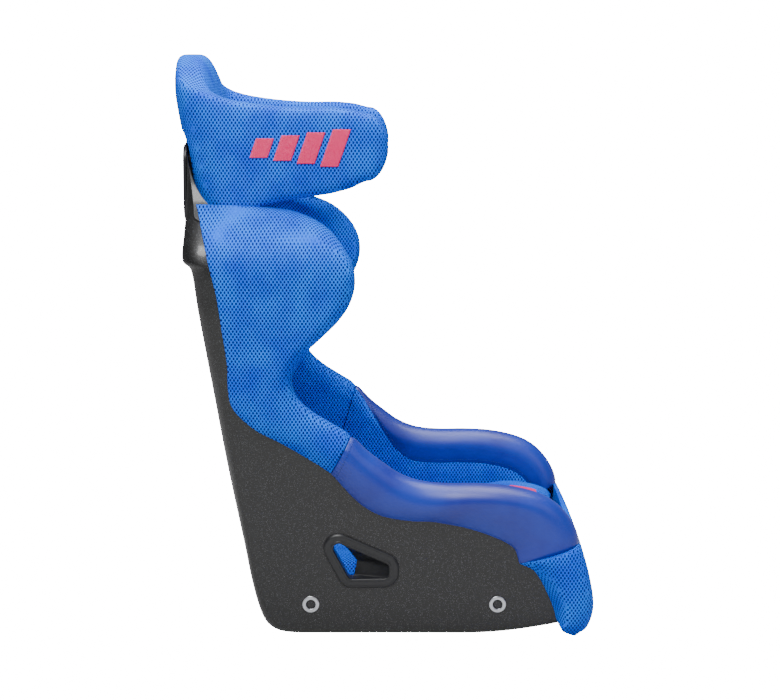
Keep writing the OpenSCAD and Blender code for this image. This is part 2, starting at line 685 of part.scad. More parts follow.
// A cover's zip opening is a slit low in its back.
module back_cushion_cover() {
    color(mesh_blue) joined() difference() {
        cushion_cover(back_front, back_rear, back_half_w, 16, 5);
        translate([-196, -110, 140]) cube([16, 220, 3]);
    }
}
module back_cushion_foam() {
    color(foam_grey) joined()
        pad(back_front, back_rear, same_width(back_half_w, back_front), 16, 5, cover_t + 0.15);
}
module head_cushion_cover() {
    color(mesh_blue) joined() difference() {
        cushion_cover(head_front, head_rear, head_half_w, 12, 4);
        translate([-230, -45, 680]) cube([14, 90, 3]);
    }
}
module head_cushion_foam() {
    color(foam_grey) joined()
        pad(head_front, head_rear, same_width(head_half_w, head_front), 12, 4, cover_t + 0.15);
}

// ---- hook-and-loop strips ----

strip_w = 25;
// A strip between two [x, z] points, from one distance to another ahead of the line joining them.
module strip(p, q, from, to) {
    along = (q - p) / norm(q - p);
    ahead = [along[1], -along[0]];
    translate([0, strip_w / 2, 0]) rotate([90, 0, 0]) linear_extrude(strip_w)
        polygon([p + ahead * from, p + ahead * to, q + ahead * to, q + ahead * from]);
}
seat_line = [[-46, 43], [-104, 43]];
back_line = [back_x(440, 3 + back_foam_t), back_x(500, 3 + back_foam_t)];
module seat_strips(from, to) {
    for (y = [-110, 110]) translate([0, y, 0]) strip(seat_line[0], seat_line[1], from, to);
}
module back_strips(from, to) {
    for (y = [-90, 90]) for (z = [215, 435])
        translate([0, y, 0]) strip([back_x(z, 3 + back_foam_t), z], [back_x(z + 60, 3 + back_foam_t), z + 60], from, to);
}
module head_strips(from, to) {
    for (y = [-35, 35]) for (z = [700, 765])
        translate([0, y, 0]) strip(
            [head_face_x - halo_lean * (z - halo_ref_z), z],
            [head_face_x - halo_lean * (z + 40 - halo_ref_z), z + 40], from, to);
}
module loop_strips() {
    color(trim_black) { seat_strips(0.2, 1.2); back_strips(0.2, 1.2); head_strips(0.2, 1.2); }
}
module seat_hook_strips() { color(trim_black) seat_strips(1.5, 2.4); }
module back_hook_strips() { color(trim_black) back_strips(1.5, 2.4); }
module head_hook_strips() { color(trim_black) head_strips(1.5, 2.4); }

shell();
halo_foam();
halo_cover();
torso_foam();  // torso_foam_right
left_of() torso_foam();  // torso_foam_left
torso_cover();  // torso_cover_right
left_of() torso_cover();  // torso_cover_left
thigh_foam();  // thigh_foam_right
left_of() thigh_foam();  // thigh_foam_left
thigh_cover();  // thigh_cover_right
left_of() thigh_cover();  // thigh_cover_left
hip_panel();  // hip_panel_right
left_of() hip_panel();  // hip_panel_left
nose_foam();
nose_cover();
base_foam();
back_foam();
back_panel();
seat_cushion_foam();
seat_cushion_cover();
back_cushion_foam();
back_cushion_cover();
head_cushion_foam();
head_cushion_cover();
lap_bezel();  // lap_bezel_right
left_of() lap_bezel();  // lap_bezel_left
shoulder_bezel_rear();  // shoulder_bezel_rear_right
left_of() shoulder_bezel_rear();  // shoulder_bezel_rear_left
shoulder_bezel_front();  // shoulder_bezel_front_right
left_of() shoulder_bezel_front();  // shoulder_bezel_front_left
crotch_bezel();
mount_inserts();
mount_plates();
loop_strips();
seat_hook_strips();
back_hook_strips();
head_hook_strips();
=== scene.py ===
# %% [markdown]
# # A fixed-back racing seat
# This lesson dresses a racing seat: a black glass-fibre shell with silver flake, padding under blue
# spacer mesh and smooth coated cloth, plastic harness slots and bright mounting inserts.
# Every soft or moulded piece is a surface worked out with numpy from a few outlines in
# millimetres; the hard hardware is turned or swept from small profiles.

import bpy
import numpy as np
from mathutils import Euler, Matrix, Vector


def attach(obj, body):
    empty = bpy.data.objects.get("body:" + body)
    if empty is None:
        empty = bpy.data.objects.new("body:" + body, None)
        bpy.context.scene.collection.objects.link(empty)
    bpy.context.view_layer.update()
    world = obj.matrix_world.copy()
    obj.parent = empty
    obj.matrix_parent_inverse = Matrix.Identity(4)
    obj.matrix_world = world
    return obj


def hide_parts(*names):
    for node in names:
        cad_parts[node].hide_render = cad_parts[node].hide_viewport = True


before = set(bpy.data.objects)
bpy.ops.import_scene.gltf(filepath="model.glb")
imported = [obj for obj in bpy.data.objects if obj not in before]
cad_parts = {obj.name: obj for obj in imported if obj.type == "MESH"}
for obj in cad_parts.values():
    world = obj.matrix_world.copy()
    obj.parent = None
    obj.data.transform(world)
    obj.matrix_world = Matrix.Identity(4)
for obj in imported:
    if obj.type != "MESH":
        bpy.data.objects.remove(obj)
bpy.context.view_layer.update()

# %% [markdown]
# ## Curves and grids
# A seat is drawn as a handful of side outlines. One function runs a smooth curve through a list of
# points; another puts a grid of points, worked out as whole arrays, into a mesh. A padded piece is
# closed: an outer grid, the glued side under it, and strips round the rim.


# %% Helpers: a smooth curve, and meshes from grids
def smooth(values, u):
    """A Catmull-Rom curve through the values, read at places u, where whole numbers are the values."""
    values = np.asarray(values, float)
    u = np.clip(u, 0, len(values) - 1.00001)
    i = np.floor(u).astype(int)
    t = (u - i).reshape(u.shape + (1,) * (values.ndim - 1))
    a, b, c, d = (values[np.clip(i + k, 0, len(values) - 1)] for k in (-1, 0, 1, 2))
    return 0.5 * (2 * b + (c - a) * t + (2 * a - 5 * b + 4 * c - d) * t**2 + (3 * b - a - 3 * c + d) * t**3)


def unit(v):
    """Each vector divided by its length."""
    return v / np.maximum(np.linalg.norm(v, axis=-1, keepdims=True), 1e-9)


def grid_quads(rows, cols, first=0, close_rows=False, close_cols=False):
    """Corner numbers of the four-sided faces of a grid whose points are numbered row by row."""
    r = np.arange(rows if close_rows else rows - 1)[:, None]
    c = np.arange(cols if close_cols else cols - 1)[None, :]
    r2, c2 = (r + 1) % rows, (c + 1) % cols
    return (first + np.stack([r * cols + c, r * cols + c2, r2 * cols + c2, r2 * cols + c], -1)).reshape(-1, 4)


def repeated(faces, count, points):
    """The faces of one part, numbered again for each of count parts that have that many points."""
    return (faces[None] + (np.arange(count) * points)[:, None, None]).reshape(-1, faces.shape[1])


def make_mesh(name, points, quads, triangles=None):
    """A smooth-shaded mesh from points in millimetres, turned outwards if its volume comes out negative."""
    points = np.asarray(points, float).reshape(-1, 3) / 1000
    triangles = np.zeros((0, 3), int) if triangles is None else np.asarray(triangles)
    halves = np.concatenate([quads[:, [0, 1, 2]], quads[:, [0, 2, 3]], triangles])
    p, q, r = (points[halves[:, k]] for k in range(3))
    if np.einsum("ij,ij->i", p, np.cross(q, r)).sum() < 0:
        quads, triangles = quads[:, ::-1], triangles[:, ::-1]
    mesh = bpy.data.meshes.new(name)
    mesh.vertices.add(len(points))
    mesh.vertices.foreach_set("co", points.astype(np.float32).ravel())
    mesh.loops.add(quads.size + triangles.size)
    corners = np.concatenate([quads.ravel(), triangles.ravel()])
    mesh.loops.foreach_set("vertex_index", corners.astype(np.int32))
    mesh.polygons.add(len(quads) + len(triangles))
    starts = np.concatenate([np.arange(len(quads)) * 4, quads.size + np.arange(len(triangles)) * 3])
    mesh.polygons.foreach_set("loop_start", starts.astype(np.int32))
    mesh.update(calc_edges=True)
    mesh.validate()
    mesh.shade_smooth()
    piece = bpy.data.objects.new(name, mesh)
    bpy.context.scene.collection.objects.link(piece)
    return piece


def solid_between(name, outer, inner):
    """A closed solid: an outer grid, an inner grid, and strips that join their four edges."""
    rows, cols = outer.shape[:2]
    n = rows * cols
    quads = [grid_quads(rows, cols), grid_quads(rows, cols, n)[:, ::-1]]
    number = np.arange(n).reshape(rows, cols)
    for edge in (number[0], number[-1, ::-1], number[::-1, 0], number[:, -1]):
        quads.append(np.stack([edge[:-1], edge[:-1] + n, edge[1:] + n, edge[1:]], -1))
    points = np.concatenate([outer.reshape(-1, 3), inner.reshape(-1, 3)])
    return make_mesh(name, points, np.concatenate(quads))


def tube(name, rings, capped=True):
    """A closed tube of rings of points, with a point in the middle of each end where it is capped."""
    rows, cols = rings.shape[:2]
    n = rows * cols
    quads = grid_quads(rows, cols, close_rows=not capped, close_cols=True)
    if not capped:
        return make_mesh(name, rings, quads)
    k = np.arange(cols)
    k2 = (k + 1) % cols
    fans = np.concatenate([
        np.stack([np.full(cols, n), k2, k], -1),
        np.stack([np.full(cols, n + 1), (rows - 1) * cols + k, (rows - 1) * cols + k2], -1)])
    ends = np.stack([rings[0].mean(0), rings[-1].mean(0)])
    return make_mesh(name, np.concatenate([rings.reshape(-1, 3), ends]), quads, fans)


def bake(piece):
    """Keeps the shape that the modifiers make, and drops them."""
    bpy.context.view_layer.update()
    graph = bpy.context.evaluated_depsgraph_get()
    done = bpy.data.meshes.new_from_object(piece.evaluated_get(graph))
    piece.modifiers.clear()
    piece.data = done
    done.shade_smooth()


def cut(piece, *cutters, folded=False):
    """Takes closed cutter meshes away from a piece, and keeps only the result. Folded is for a
    piece whose faces touch each other somewhere."""
    for cutter in cutters:
        step = piece.modifiers.new("cut", "BOOLEAN")
        step.operation, step.object, step.solver, step.use_self = "DIFFERENCE", cutter, "EXACT", folded
    bake(piece)
    for cutter in cutters:
        bpy.data.objects.remove(cutter)


def flip_y(points):
    """The same points on the other side of the middle plane."""
    return points * np.array([1, -1, 1])


def side_flip(points, left):
    """Everything is worked out on the right, and mirrored where left is true."""
    return flip_y(points) if left else points


SIDES = (("right", False), ("left", True))

print("helpers ready")

# %% [markdown]
# ## The outlines
# These are the seat's drawing: the shell's base line and free edge, the crest, lower edge and foot
# of the side bolsters, the nose, and the head restraint. Each list has only the points that its
# curve needs, as [x, z] in millimetres, front to rear or low to high.

# %% Outlines in millimetres
WALL_STEP, SHELL_T, GAP = 75, 4, 0.5
ROLL, ROOT_FOAM, SHELL_FRONT = 32, 16, 299.5
wall_knots = [205, 205, 208, 217, 226, 232, 241, 248, 242, 172, 150, 150, 150]
shell_base = [
    [298, 120], [299, 95], [299, 65], [296, 36], [283, 19], [240, 10], [190, 3], [140, 0], [60, 0],
    [-20, 0], [-90, 0], [-145, 0], [-172, 7], [-188, 27], [-202, 75], [-214, 140], [-228, 215],
    [-241, 290], [-254, 370], [-266, 445], [-277, 515], [-285, 570], [-298, 586], [-298, 620],
    [-298, 650], [-298, 690], [-299, 762]]
shell_edge = [
    [270, 138], [265, 152], [252, 170], [232, 185], [205, 196], [175, 203], [140, 206], [104, 207],
    [62, 210], [22, 224], [-22, 247], [-58, 277], [-93, 302], [-126, 322], [-152, 340],
    [-168, 366], [-172, 398], [-164, 436], [-138, 470], [-104, 505], [-80, 540], [-76, 568],
    [-88, 590], [-118, 612], [-165, 626], [-225, 640], [-284, 652], [-288, 762]]
shell_corner = [25, 25, 22, 16, 11, 8, 8, 8, 8, 8, 8, 12, 20, 28] + [32] * 11 + [25, 25]
crest = [
    [306, 146], [300, 168], [285, 193], [262, 215], [232, 229], [190, 238], [145, 241], [100, 241],
    [60, 245], [28, 257], [2, 275], [-22, 294], [-47, 319], [-77, 338], [-105, 356], [-127, 377],
    [-135, 400], [-130, 422], [-114, 447], [-90, 470], [-65, 495], [-47, 522], [-39, 552],
    [-43, 582], [-60, 612], [-88, 638], [-125, 654], [-160, 661], [-190, 665]]
cover_edge = [
    [213, 114], [206, 136], [193, 147], [175, 156], [152, 165], [125, 173], [100, 178], [75, 182],
    [45, 183], [5, 190], [-22, 203], [-45, 223], [-78, 260], [-109, 282], [-150, 307], [-192, 330],
    [-224, 362], [-231, 395], [-231, 425], [-234, 455], [-238, 483], [-241, 508], [-245, 535],
    [-251, 562], [-258, 590], [-265, 618], [-271, 638], [-276, 655], [-280, 667]]
inner_foot = [
    [266, 130], [250, 112], [225, 92], [200, 78], [172, 66], [140, 58], [108, 50], [70, 44],
    [35, 40], [0, 38], [-40, 38], [-80, 40], [-125, 50], [-165, 75], [-177, 120], [-188, 180],
    [-198, 240], [-209, 300], [-218, 355], [-226, 405], [-234, 450], [-239, 490], [-244, 522],
    [-247, 550], [-250, 576], [-255, 600], [-258, 625], [-260, 645], [-262, 658]]
bulge = [22, 22, 20, 18, 14, 12, 14, 8]
bolster_w = [56, 58, 58, 54, 48, 54, 62, 50]
SEAM_STATION, LAST_STATION = 12, 28
nose_front = [[306, 146], [315, 121], [322, 94], [327, 67], [328, 46], [324, 26], [316, 10], [302, 1]]
nose_flap = [[213, 114], [234, 104], [246, 88], [256, 68], [263, 52], [268, 38], [271, 26], [276, 14]]
nose_y = [240, 243, 245, 246, 246, 244, 240, 232]


def wall(z):
    """The shell's outer half-width at height z."""
    return smooth(wall_knots, np.asarray(z, float) / WALL_STEP)


print("outlines:", len(crest), "bolster stations,", len(shell_base), "shell stations")

# %% [markdown]
# ## The shell
# The real shell is one hand-laid moulding of glass fibre. It could be a box with bevelled edges,
# but its side is a single sweep from sole to shoulder, so it is a grid instead: each row is a
# section from one free edge, round the corner, across the floor or back, and up to the other edge.


# %% The shell's surface
def shell_half(u, depth):
    """One half of each section: flat floor or back, a round corner, then the wall up to the free edge."""
    foot, edge, r = smooth(shell_base, u), smooth(shell_edge, u), smooth(shell_corner, u)
    ahead = smooth(shell_base, u + 0.05) - smooth(shell_base, u - 0.05)
    normal = unit(np.stack([ahead[:, 1], -ahead[:, 0]], -1))
    way = unit(edge - foot)
    reach = np.linalg.norm(edge - foot, axis=-1)
    lift = depth / np.maximum(0.35, (way * normal).sum(-1))
    base = foot + way * lift[:, None]
    flat_y = wall(base[:, 1]) - r
    parts = []
    flat = np.linspace(0, 1, 12)[:-1]
    parts.append(np.stack([
        base[:, 0, None] + 0 * flat, -flat_y[:, None] * flat, base[:, 1, None] + 0 * flat], -1))
    a = np.radians(np.linspace(0, 90, 14))[:-1]
    p = base[:, None] + way[:, None] * ((r - depth)[:, None] * (1 - np.cos(a)))[..., None]
    y = flat_y[:, None] + (wall(p[..., 1]) - depth - flat_y[:, None]) * np.sin(a)
    parts.append(np.stack([p[..., 0], -y, p[..., 1]], -1))
    k = np.linspace(0, 1, 40)
    low = base + way * (r - depth)[:, None]
    high = foot + way * reach[:, None]
    p = low[:, None] + (high - low)[:, None] * k[:, None]
    parts.append(np.stack([p[..., 0], -(wall(p[..., 1]) - depth), p[..., 1]], -1))
    return np.concatenate(parts, 1)


def shell_grid(depth):
    u = np.linspace(0, len(shell_base) - 1, 261)
    half = shell_half(u, depth)
    return np.concatenate([flip_y(half)[:, :0:-1], half], 1)


shell = solid_between("shell_body", shell_grid(0), shell_grid(SHELL_T))
print("shell faces:", len(shell.data.polygons))


# %% Rounded outlines, for slots and their bezels
def rounded_outline(corners, r, per_corner=10):
    """Points at distance r outside a convex polygon given anticlockwise: an arc at each corner."""
    corners = np.asarray(corners, float)
    side = np.roll(corners, -1, 0) - corners
    angle = np.arctan2(side[:, 1], side[:, 0]) - np.pi / 2
    turn = (angle - np.roll(angle, 1)) % (2 * np.pi)
    a = np.roll(angle, 1)[:, None] + turn[:, None] * np.linspace(0, 1, per_corner)
    return (corners[:, None] + r * np.stack([np.cos(a), np.sin(a)], -1)).reshape(-1, 2)


def prism(outline, place, near, far, left=False):
    """A closed cutter: the outline at two depths, put in space by place(outline, depth)."""
    return tube("cutter", side_flip(np.stack([place(outline, near), place(outline, far)]), left))


def on_side(outline, y):
    """Outline in x and z, at distance y to the right of the middle plane."""
    return np.stack([outline[:, 0], np.full(len(outline), -float(y)), outline[:, 1]], -1)


def across_back(outline, x):
    """Outline in y and z, at x along the seat."""
    return np.stack([np.full(len(outline), float(x)), outline[:, 0], outline[:, 1]], -1)


def in_plan(outline, z):
    """Outline in x and y, at height z."""
    return np.stack([outline[:, 0], outline[:, 1], np.full(len(outline), float(z))], -1)


lap_corners = [[-45, 98], [3, 99], [3, 107], [-66, 138]]
LAP_CUT = 150, 260
SLOT_Y, SLOT_Z, SLOT_W, SLOT_H = 94, 695, 50, 96
slot_corners = [
    [-SLOT_Y + sy * (SLOT_W / 2 - 14), SLOT_Z + sz * (SLOT_H / 2 - 14)]
    for sy, sz in ((-1, -1), (1, -1), (1, 1), (-1, 1))]
crotch_corners = [[130 + sx * 5, sy * 24] for sx, sy in ((-1, -1), (1, -1), (1, 1), (-1, 1))]


def slot_cutters(lap_r, shoulder_r, crotch_r, shoulder_x=(-340, -240)):
    """Closed prisms through the lap slots, the shoulder slots and the crotch slot."""
    made = []
    for _, left in SIDES:
        if lap_r:
            made.append(prism(rounded_outline(lap_corners, lap_r), on_side, *LAP_CUT, left))
        if shoulder_r:
            made.append(prism(rounded_outline(slot_corners, shoulder_r), across_back, *shoulder_x, left))
    if crotch_r:
        made.append(prism(rounded_outline(crotch_corners, crotch_r), in_plan, -10, 220))
    return made


cut(shell, *slot_cutters(10, 17.5, 10.5))
print("shell after cutting:", len(shell.data.polygons))

# %% [markdown]
# ## Side bolsters
# On the real seat one long roll of foam runs from the front of the thigh, over the hip, up to the
# shoulder and in to the neck. It could be a bevelled curve, but its width, height and reach all
# change along it. So each section is worked out whole: a panel rising off the shell, a half
# ellipse over the top, and a panel falling to the foot inside.


# %% The bolster's section
def bolster(u, part):
    """Grids (surface, glued side) for stations u; part is an array from 0 at the lower edge of the
    outside, 1 where the roll starts, 2 where it ends inside, to 3 at the foot."""
    u = np.asarray(u, float)
    top, out, foot = smooth(crest, u), smooth(cover_edge, u), smooth(inner_foot, u)
    stand, w = smooth(bulge, u / 4), smooth(bolster_w, u / 4)
    out_way, in_way = unit(out - top), unit(foot - top)
    reach = np.linalg.norm(foot - top, axis=-1)
    start = top + out_way * ROLL
    widest = wall(start[:, 1]) + stand
    root = wall(foot[:, 1]) - SHELL_T - ROOT_FOAM
    col = lambda v: v[:, None]
    k = np.clip(part, 0, 1)[None]
    rise = np.sin(np.pi / 2 * k) ** 0.75
    p_out = out[:, None] + (start - out)[:, None] * k[..., None]
    y_out = wall(p_out[..., 1]) + 2.5 + (col(stand) - 2.5) * rise
    a = np.pi / 2 - np.pi * np.clip(part - 1, 0, 1)[None]
    side = np.where(a[..., None] > 0, out_way[:, None], in_way[:, None])
    p_roll = top[:, None] + side * (ROLL * (1 - np.cos(a)))[..., None]
    y_roll = col(widest - w / 2) + col(w / 2) * np.sin(a)
    t = np.clip(part - 2, 0, 1)[None]
    p_in = top[:, None] + in_way[:, None] * (ROLL + (col(reach) - ROLL) * t)[..., None]
    y_in = col(widest - w) + (col(root) - col(widest - w)) * t
    zone = np.broadcast_to(part[None], y_roll.shape)

    def pick(on_outside, on_roll, on_inside):
        where = zone[..., None] if np.ndim(on_roll) == 3 else zone
        return np.where(where < 1, on_outside, np.where(where > 2, on_inside, on_roll))

    p, y = pick(p_out, p_roll, p_in), pick(y_out, y_roll, y_in)
    q_roll = top[:, None] + side * (28 + 3 * (1 - np.cos(a)))[..., None]
    g = pick(p_out, q_roll, p_in)
    g_wall = wall(g[..., 1])
    gy = pick(g_wall + GAP, g_wall - 2 + 2.5 * np.sin(a), g_wall - SHELL_T - GAP)
    surface = np.stack([p[..., 0], -y, p[..., 1]], -1)
    glued = np.stack([g[..., 0], -gy, g[..., 1]], -1)
    return surface, glued


def seam_dip(surface, glued, away, deep=2.4, wide=5):
    """Pulls the surface in beside a seam, by a bell curve of the distance away from it in mm."""
    inward = unit(glued - surface)
    return surface + inward * (deep * np.exp(-((away / wide) ** 2)))[..., None]


print("roll width at the shoulder:", smooth(bolster_w, np.array([5.5]))[0])

# %% Shoulder and waist bolsters in spacer mesh
u = np.linspace(SEAM_STATION, LAST_STATION, 240)
parts = np.concatenate([np.linspace(0, 1, 46)[:-1], np.linspace(1, 2, 60)[:-1], np.linspace(2, 3, 46)])
away = np.abs(u - SEAM_STATION)[:, None] * 30 + 0 * parts[None]
surface, glued = bolster(u, parts)
pucker = 0.35 * np.sin(parts * 40)[None] * np.exp(-away / 14)
surface = seam_dip(surface, glued, away) - unit(glued - surface) * pucker[..., None]
torso = {}
for side, left in SIDES:
    torso[side] = solid_between("torso_bolster_" + side, side_flip(surface, left), side_flip(glued, left))
print("torso bolster faces:", len(torso["right"].data.polygons))

# %% Thigh bolsters in smooth coated cloth, and the mesh hip panels inside them
def reach_at(u):
    """Distance from the crest to the foot inside."""
    return np.linalg.norm(smooth(inner_foot, u) - smooth(crest, u), axis=-1)


def part_at(u, d):
    """The part of a section that lies at distance d inside the crest."""
    on_roll = 1.5 + np.arccos(np.clip(1 - d / ROLL, -1, 1)) / np.pi
    return np.where(d < ROLL, on_roll, 2 + (d - ROLL) / (reach_at(u) - ROLL))


def seam_distance(u):
    """The seam under the coated cloth climbs from well inside at the front to the crest at the rear."""
    climb = np.clip((SEAM_STATION - u) / 4.2, 0, 1)
    climb = climb * climb * (3 - 2 * climb)
    return 3 + (np.minimum(reach_at(u) - 6, ROLL + 24) - 3) * climb


u = np.linspace(0, SEAM_STATION - 0.03, 220)
reach = reach_at(u)
seam_at = part_at(u, seam_distance(u))


def bolster_rows(u, parts_of_row):
    """The bolster with its own list of parts in each row."""
    rows = [bolster(np.array([a]), b) for a, b in zip(u, parts_of_row)]
    return np.concatenate([r[0] for r in rows]), np.concatenate([r[1] for r in rows])


cap_parts = np.stack([np.concatenate([
    np.linspace(0, 1, 40)[:-1], np.linspace(1, 1.5, 34)[:-1], np.linspace(1.5, s, 50)]) for s in seam_at])
surface, glued = bolster_rows(u, cap_parts)
along = (SEAM_STATION - u)[:, None] * 30 + 0 * cap_parts
below = (seam_at[:, None] - cap_parts) * 70
pucker = 0.4 * np.sin(cap_parts * 40) * np.exp(-along / 14)
surface = seam_dip(surface, glued, along) - unit(glued - surface) * pucker[..., None]
surface = seam_dip(surface, glued, np.where(cap_parts > 1.5, below, 99), 2.0, 4)
surface = seam_dip(surface, glued, (u * 26)[:, None] + 0 * cap_parts, 1.6, 5)
panel_parts = np.stack([np.linspace(s + 0.002, 3, 56) for s in seam_at])
panel, panel_glued = bolster_rows(u, panel_parts)
below = (panel_parts - seam_at[:, None]) * 70
panel = seam_dip(panel, panel_glued, below, 2.0, 4)
thigh, hip = {}, {}
for side, left in SIDES:
    thigh[side] = solid_between("thigh_bolster_" + side, side_flip(surface, left), side_flip(glued, left))
    hip[side] = solid_between("hip_side_panel_" + side, side_flip(panel, left), side_flip(panel_glued, left))
    cut(hip[side], prism(rounded_outline(lap_corners, 10), on_side, *LAP_CUT, left), folded=True)
print("thigh bolster faces:", len(thigh["right"].data.polygons))

# %% [markdown]
# ## The nose
# The front of the cushion base is a separate padded flap that wraps the shell's front and both
# lower corners. It is one sheet from side to side: each row runs from the flap's rear edge on the
# right, round the corner, across the front, and back along the left.


# %% The nose flap
def nose_rows(u):
    """Grids (surface, glued side) of the right half, from the flap's rear edge to the middle."""
    front, rear, wide = smooth(nose_front, u), smooth(nose_flap, u), smooth(nose_y, u)
    corner = np.minimum(34, front[:, 0] - rear[:, 0] - 4)
    bend_x, bend_y = front[:, 0] - corner, wide - corner
    from_y = wall(rear[:, 1]) + GAP + 2
    level = lambda x: rear[:, 1, None] + (front[:, 1] - rear[:, 1])[:, None] * (
        (x - rear[:, 0, None]) / (front[:, 0] - rear[:, 0])[:, None])
    k = np.linspace(0, 1, 26)[:-1][None]
    x = rear[:, 0, None] + (bend_x - rear[:, 0])[:, None] * k
    z = level(x)
    side = np.stack([x, -(from_y[:, None] + (wide - from_y)[:, None] * np.sin(np.pi / 2 * k)), z], -1)
    side_in = np.stack([x, -(wall(z) + GAP), z], -1)
    a = np.radians(np.linspace(0, 90, 16))[:-1][None]
    x = bend_x[:, None] + corner[:, None] * np.sin(a)
    z = level(x)
    turn = np.stack([x, -(bend_y[:, None] + corner[:, None] * np.cos(a)), z], -1)
    inner_x = bend_x[:, None] + (SHELL_FRONT - bend_x[:, None]) * np.sin(a)
    turn_in = np.stack([inner_x, -(wall(z) + GAP), z], -1)
    k = np.linspace(1, 0, 30)[None]
    face = np.stack([
        front[:, 0, None] + 3 * (1 - k**2), -bend_y[:, None] * k, front[:, 1, None] + 0 * k], -1)
    face_in = np.stack([SHELL_FRONT + 0 * face[..., 0], face[..., 1], face[..., 2]], -1)
    return np.concatenate([side, turn, face], 1), np.concatenate([side_in, turn_in, face_in], 1)


def both_halves(grid):
    return np.concatenate([grid, flip_y(grid)[:, -2::-1]], 1)


u = np.linspace(0.03, 7, 90)
surface, glued = (both_halves(g) for g in nose_rows(u))
surface = seam_dip(surface, glued, (u * 26)[:, None] + 0 * surface[..., 0], 1.6, 5)
nose = solid_between("nose_flap", surface, glued)
print("nose faces:", len(nose.data.polygons))

# %% [markdown]
# ## The head restraint
# A thick band of foam runs behind the head and forward on both sides. A band swept along a bent
# path could be a curve object, but its height changes all the way, so its sections are rings
# worked out along the path: rounded boxes that lean with the back and shrink to a round tip.

# %% The head restraint's rings
HALO_R, HALO_BACK, HALO_Z, LEAN, WING_Y = 47, -272, 750, 0.2, 160
HEAD_T, WING_T, TIP, TIP_Z = 64, 56, 26, 751
HALO_START = WING_Y - HALO_R + HALO_R * np.pi / 2
HALO_LEN = HALO_START + 11 - (HALO_BACK + HALO_R)
halo_outline = np.array([
    [0, 630, 891], [50, 630, 889], [100, 632, 874], [126, 648, 858], [160, 652, 838],
    [195, 658, 824], [240, 668, 816], [290, 676, 812], [335, 682, 812], [365, 690, 809],
    [390, 701, 803]], float)


def halo_path(s):
    """The middle line from above, at distance s from the middle: straight, a quarter circle, straight."""
    flat = WING_Y - HALO_R
    a = np.clip((s - flat) / HALO_R, 0, np.pi / 2)
    x = HALO_BACK + HALO_R * (1 - np.cos(a)) + np.maximum(0, s - HALO_START)
    y = np.minimum(s, flat) + HALO_R * np.sin(a)
    return np.stack([x, -y], -1), np.stack([-np.cos(a), -np.sin(a)], -1)


def halo_heights(s):
    """Lower and upper edge at distance s, closing on one point at the tip."""
    knots = halo_outline[:, 0]
    i = np.clip(np.searchsorted(knots, s, side="right") - 1, 0, len(knots) - 2)
    last = knots[-1]
    z = smooth(halo_outline[:, 1:], i + (np.minimum(s, last) - knots[i]) / (knots[i + 1] - knots[i]))
    close = (1 - np.clip((s - last) / (HALO_LEN - last), 0, 1) ** 2) ** 0.6
    return TIP_Z + (z - TIP_Z) * close[..., None]


def halo_points(s, z, outward):
    """Points at distance s, height z and distance outward from the middle line, leaned with the back."""
    path, away = halo_path(s)
    shear = LEAN * np.clip(1 - (s - HALO_START) / 150, 0, 1)
    x = path[..., 0] + away[..., 0] * outward - shear * (z - HALO_Z)
    return np.stack([x, path[..., 1] + away[..., 1] * outward, z], -1)


def halo_thickness(s):
    thick = HEAD_T + (WING_T - HEAD_T) * np.minimum(1, s / HALO_START)
    tip = np.clip((s - HALO_LEN + TIP) / TIP, 0, 1)
    return thick / 2 * np.sqrt(np.maximum(1 - tip**2, 0.0004))


def halo_rings(s, cols=120):
    """Rings whose section is |x|^4 + |z|^4 = 1, scaled to the thickness and height at each place.
    Below, round the back corner, the section is squarer, where it is pressed onto the bolster."""
    a = np.linspace(0, 2 * np.pi, cols, endpoint=False)[None]
    soft = lambda v, power: np.sign(v) * np.abs(v) ** power
    low, high = halo_heights(s).T[:, :, None]
    square = 0.3 * np.clip((250 - s) / 70, 0, 1)[:, None] * (np.sin(a) < 0)
    z = (low + high) / 2 + (high - low) / 2 * soft(np.sin(a), 0.5 - square)
    out = halo_thickness(s)[:, None] * soft(np.cos(a), 0.5 - square)
    return halo_points(s[:, None] + 0 * a, z, out)


s = (HALO_LEN - 0.3) * np.sin(np.linspace(np.pi / 2, 0, 180))
rings = halo_rings(s)
rings = np.concatenate([rings, flip_y(rings)[-2::-1]])
behind = (np.abs(rings[..., 1]) < 149) & (rings[..., 2] < 762)
rings[..., 0] = np.where(behind, np.maximum(rings[..., 0], -294.4), rings[..., 0])
halo = tube("head_restraint", rings)
cut(halo, *slot_cutters(0, 17.5, 0, (-340, -180)))
print("head restraint faces:", len(halo.data.polygons))

# %% [markdown]
# ## Fixed padding on the back and the floor
# Behind the lift-off cushions there is glued foam: a slab on the floor and a thin, mesh-covered
# slab on the back. Bevelled boxes would not follow the curved back, so both are rows of rounded
# rings between a front line and a rear line.

# %% Pads between two side lines
cols = np.linspace(0, 2 * np.pi, 128, endpoint=False)


def pad_rings(front, rear, half, u, round_y=6.0, round_d=3.0, end=9):
    """Rings at places u. Each is a box with soft corners, |y|^a + |d|^b = 1, between the two lines,
    and both ends close down over a distance of end mm."""
    a, b, w = smooth(front, u), smooth(rear, u), smooth(half, u)
    middle = (a + b) / 2
    run = np.concatenate([[0], np.cumsum(np.linalg.norm(np.diff(middle, axis=0), axis=-1))])
    near = np.clip(np.minimum(run, run[-1] - run) / end, 0.02, 1)
    close = np.sqrt(1 - (1 - near) ** 2)
    d = np.sign(np.sin(cols)) * np.abs(np.sin(cols)) ** (2 / round_d)
    y = np.sign(np.cos(cols)) * np.abs(np.cos(cols)) ** (2 / round_y)
    p = middle[:, None] + (a - b)[:, None] / 2 * (d[None] * close[:, None])[..., None]
    return np.stack([p[..., 0], y[None] * (w - end * (1 - close))[:, None], p[..., 1]], -1)


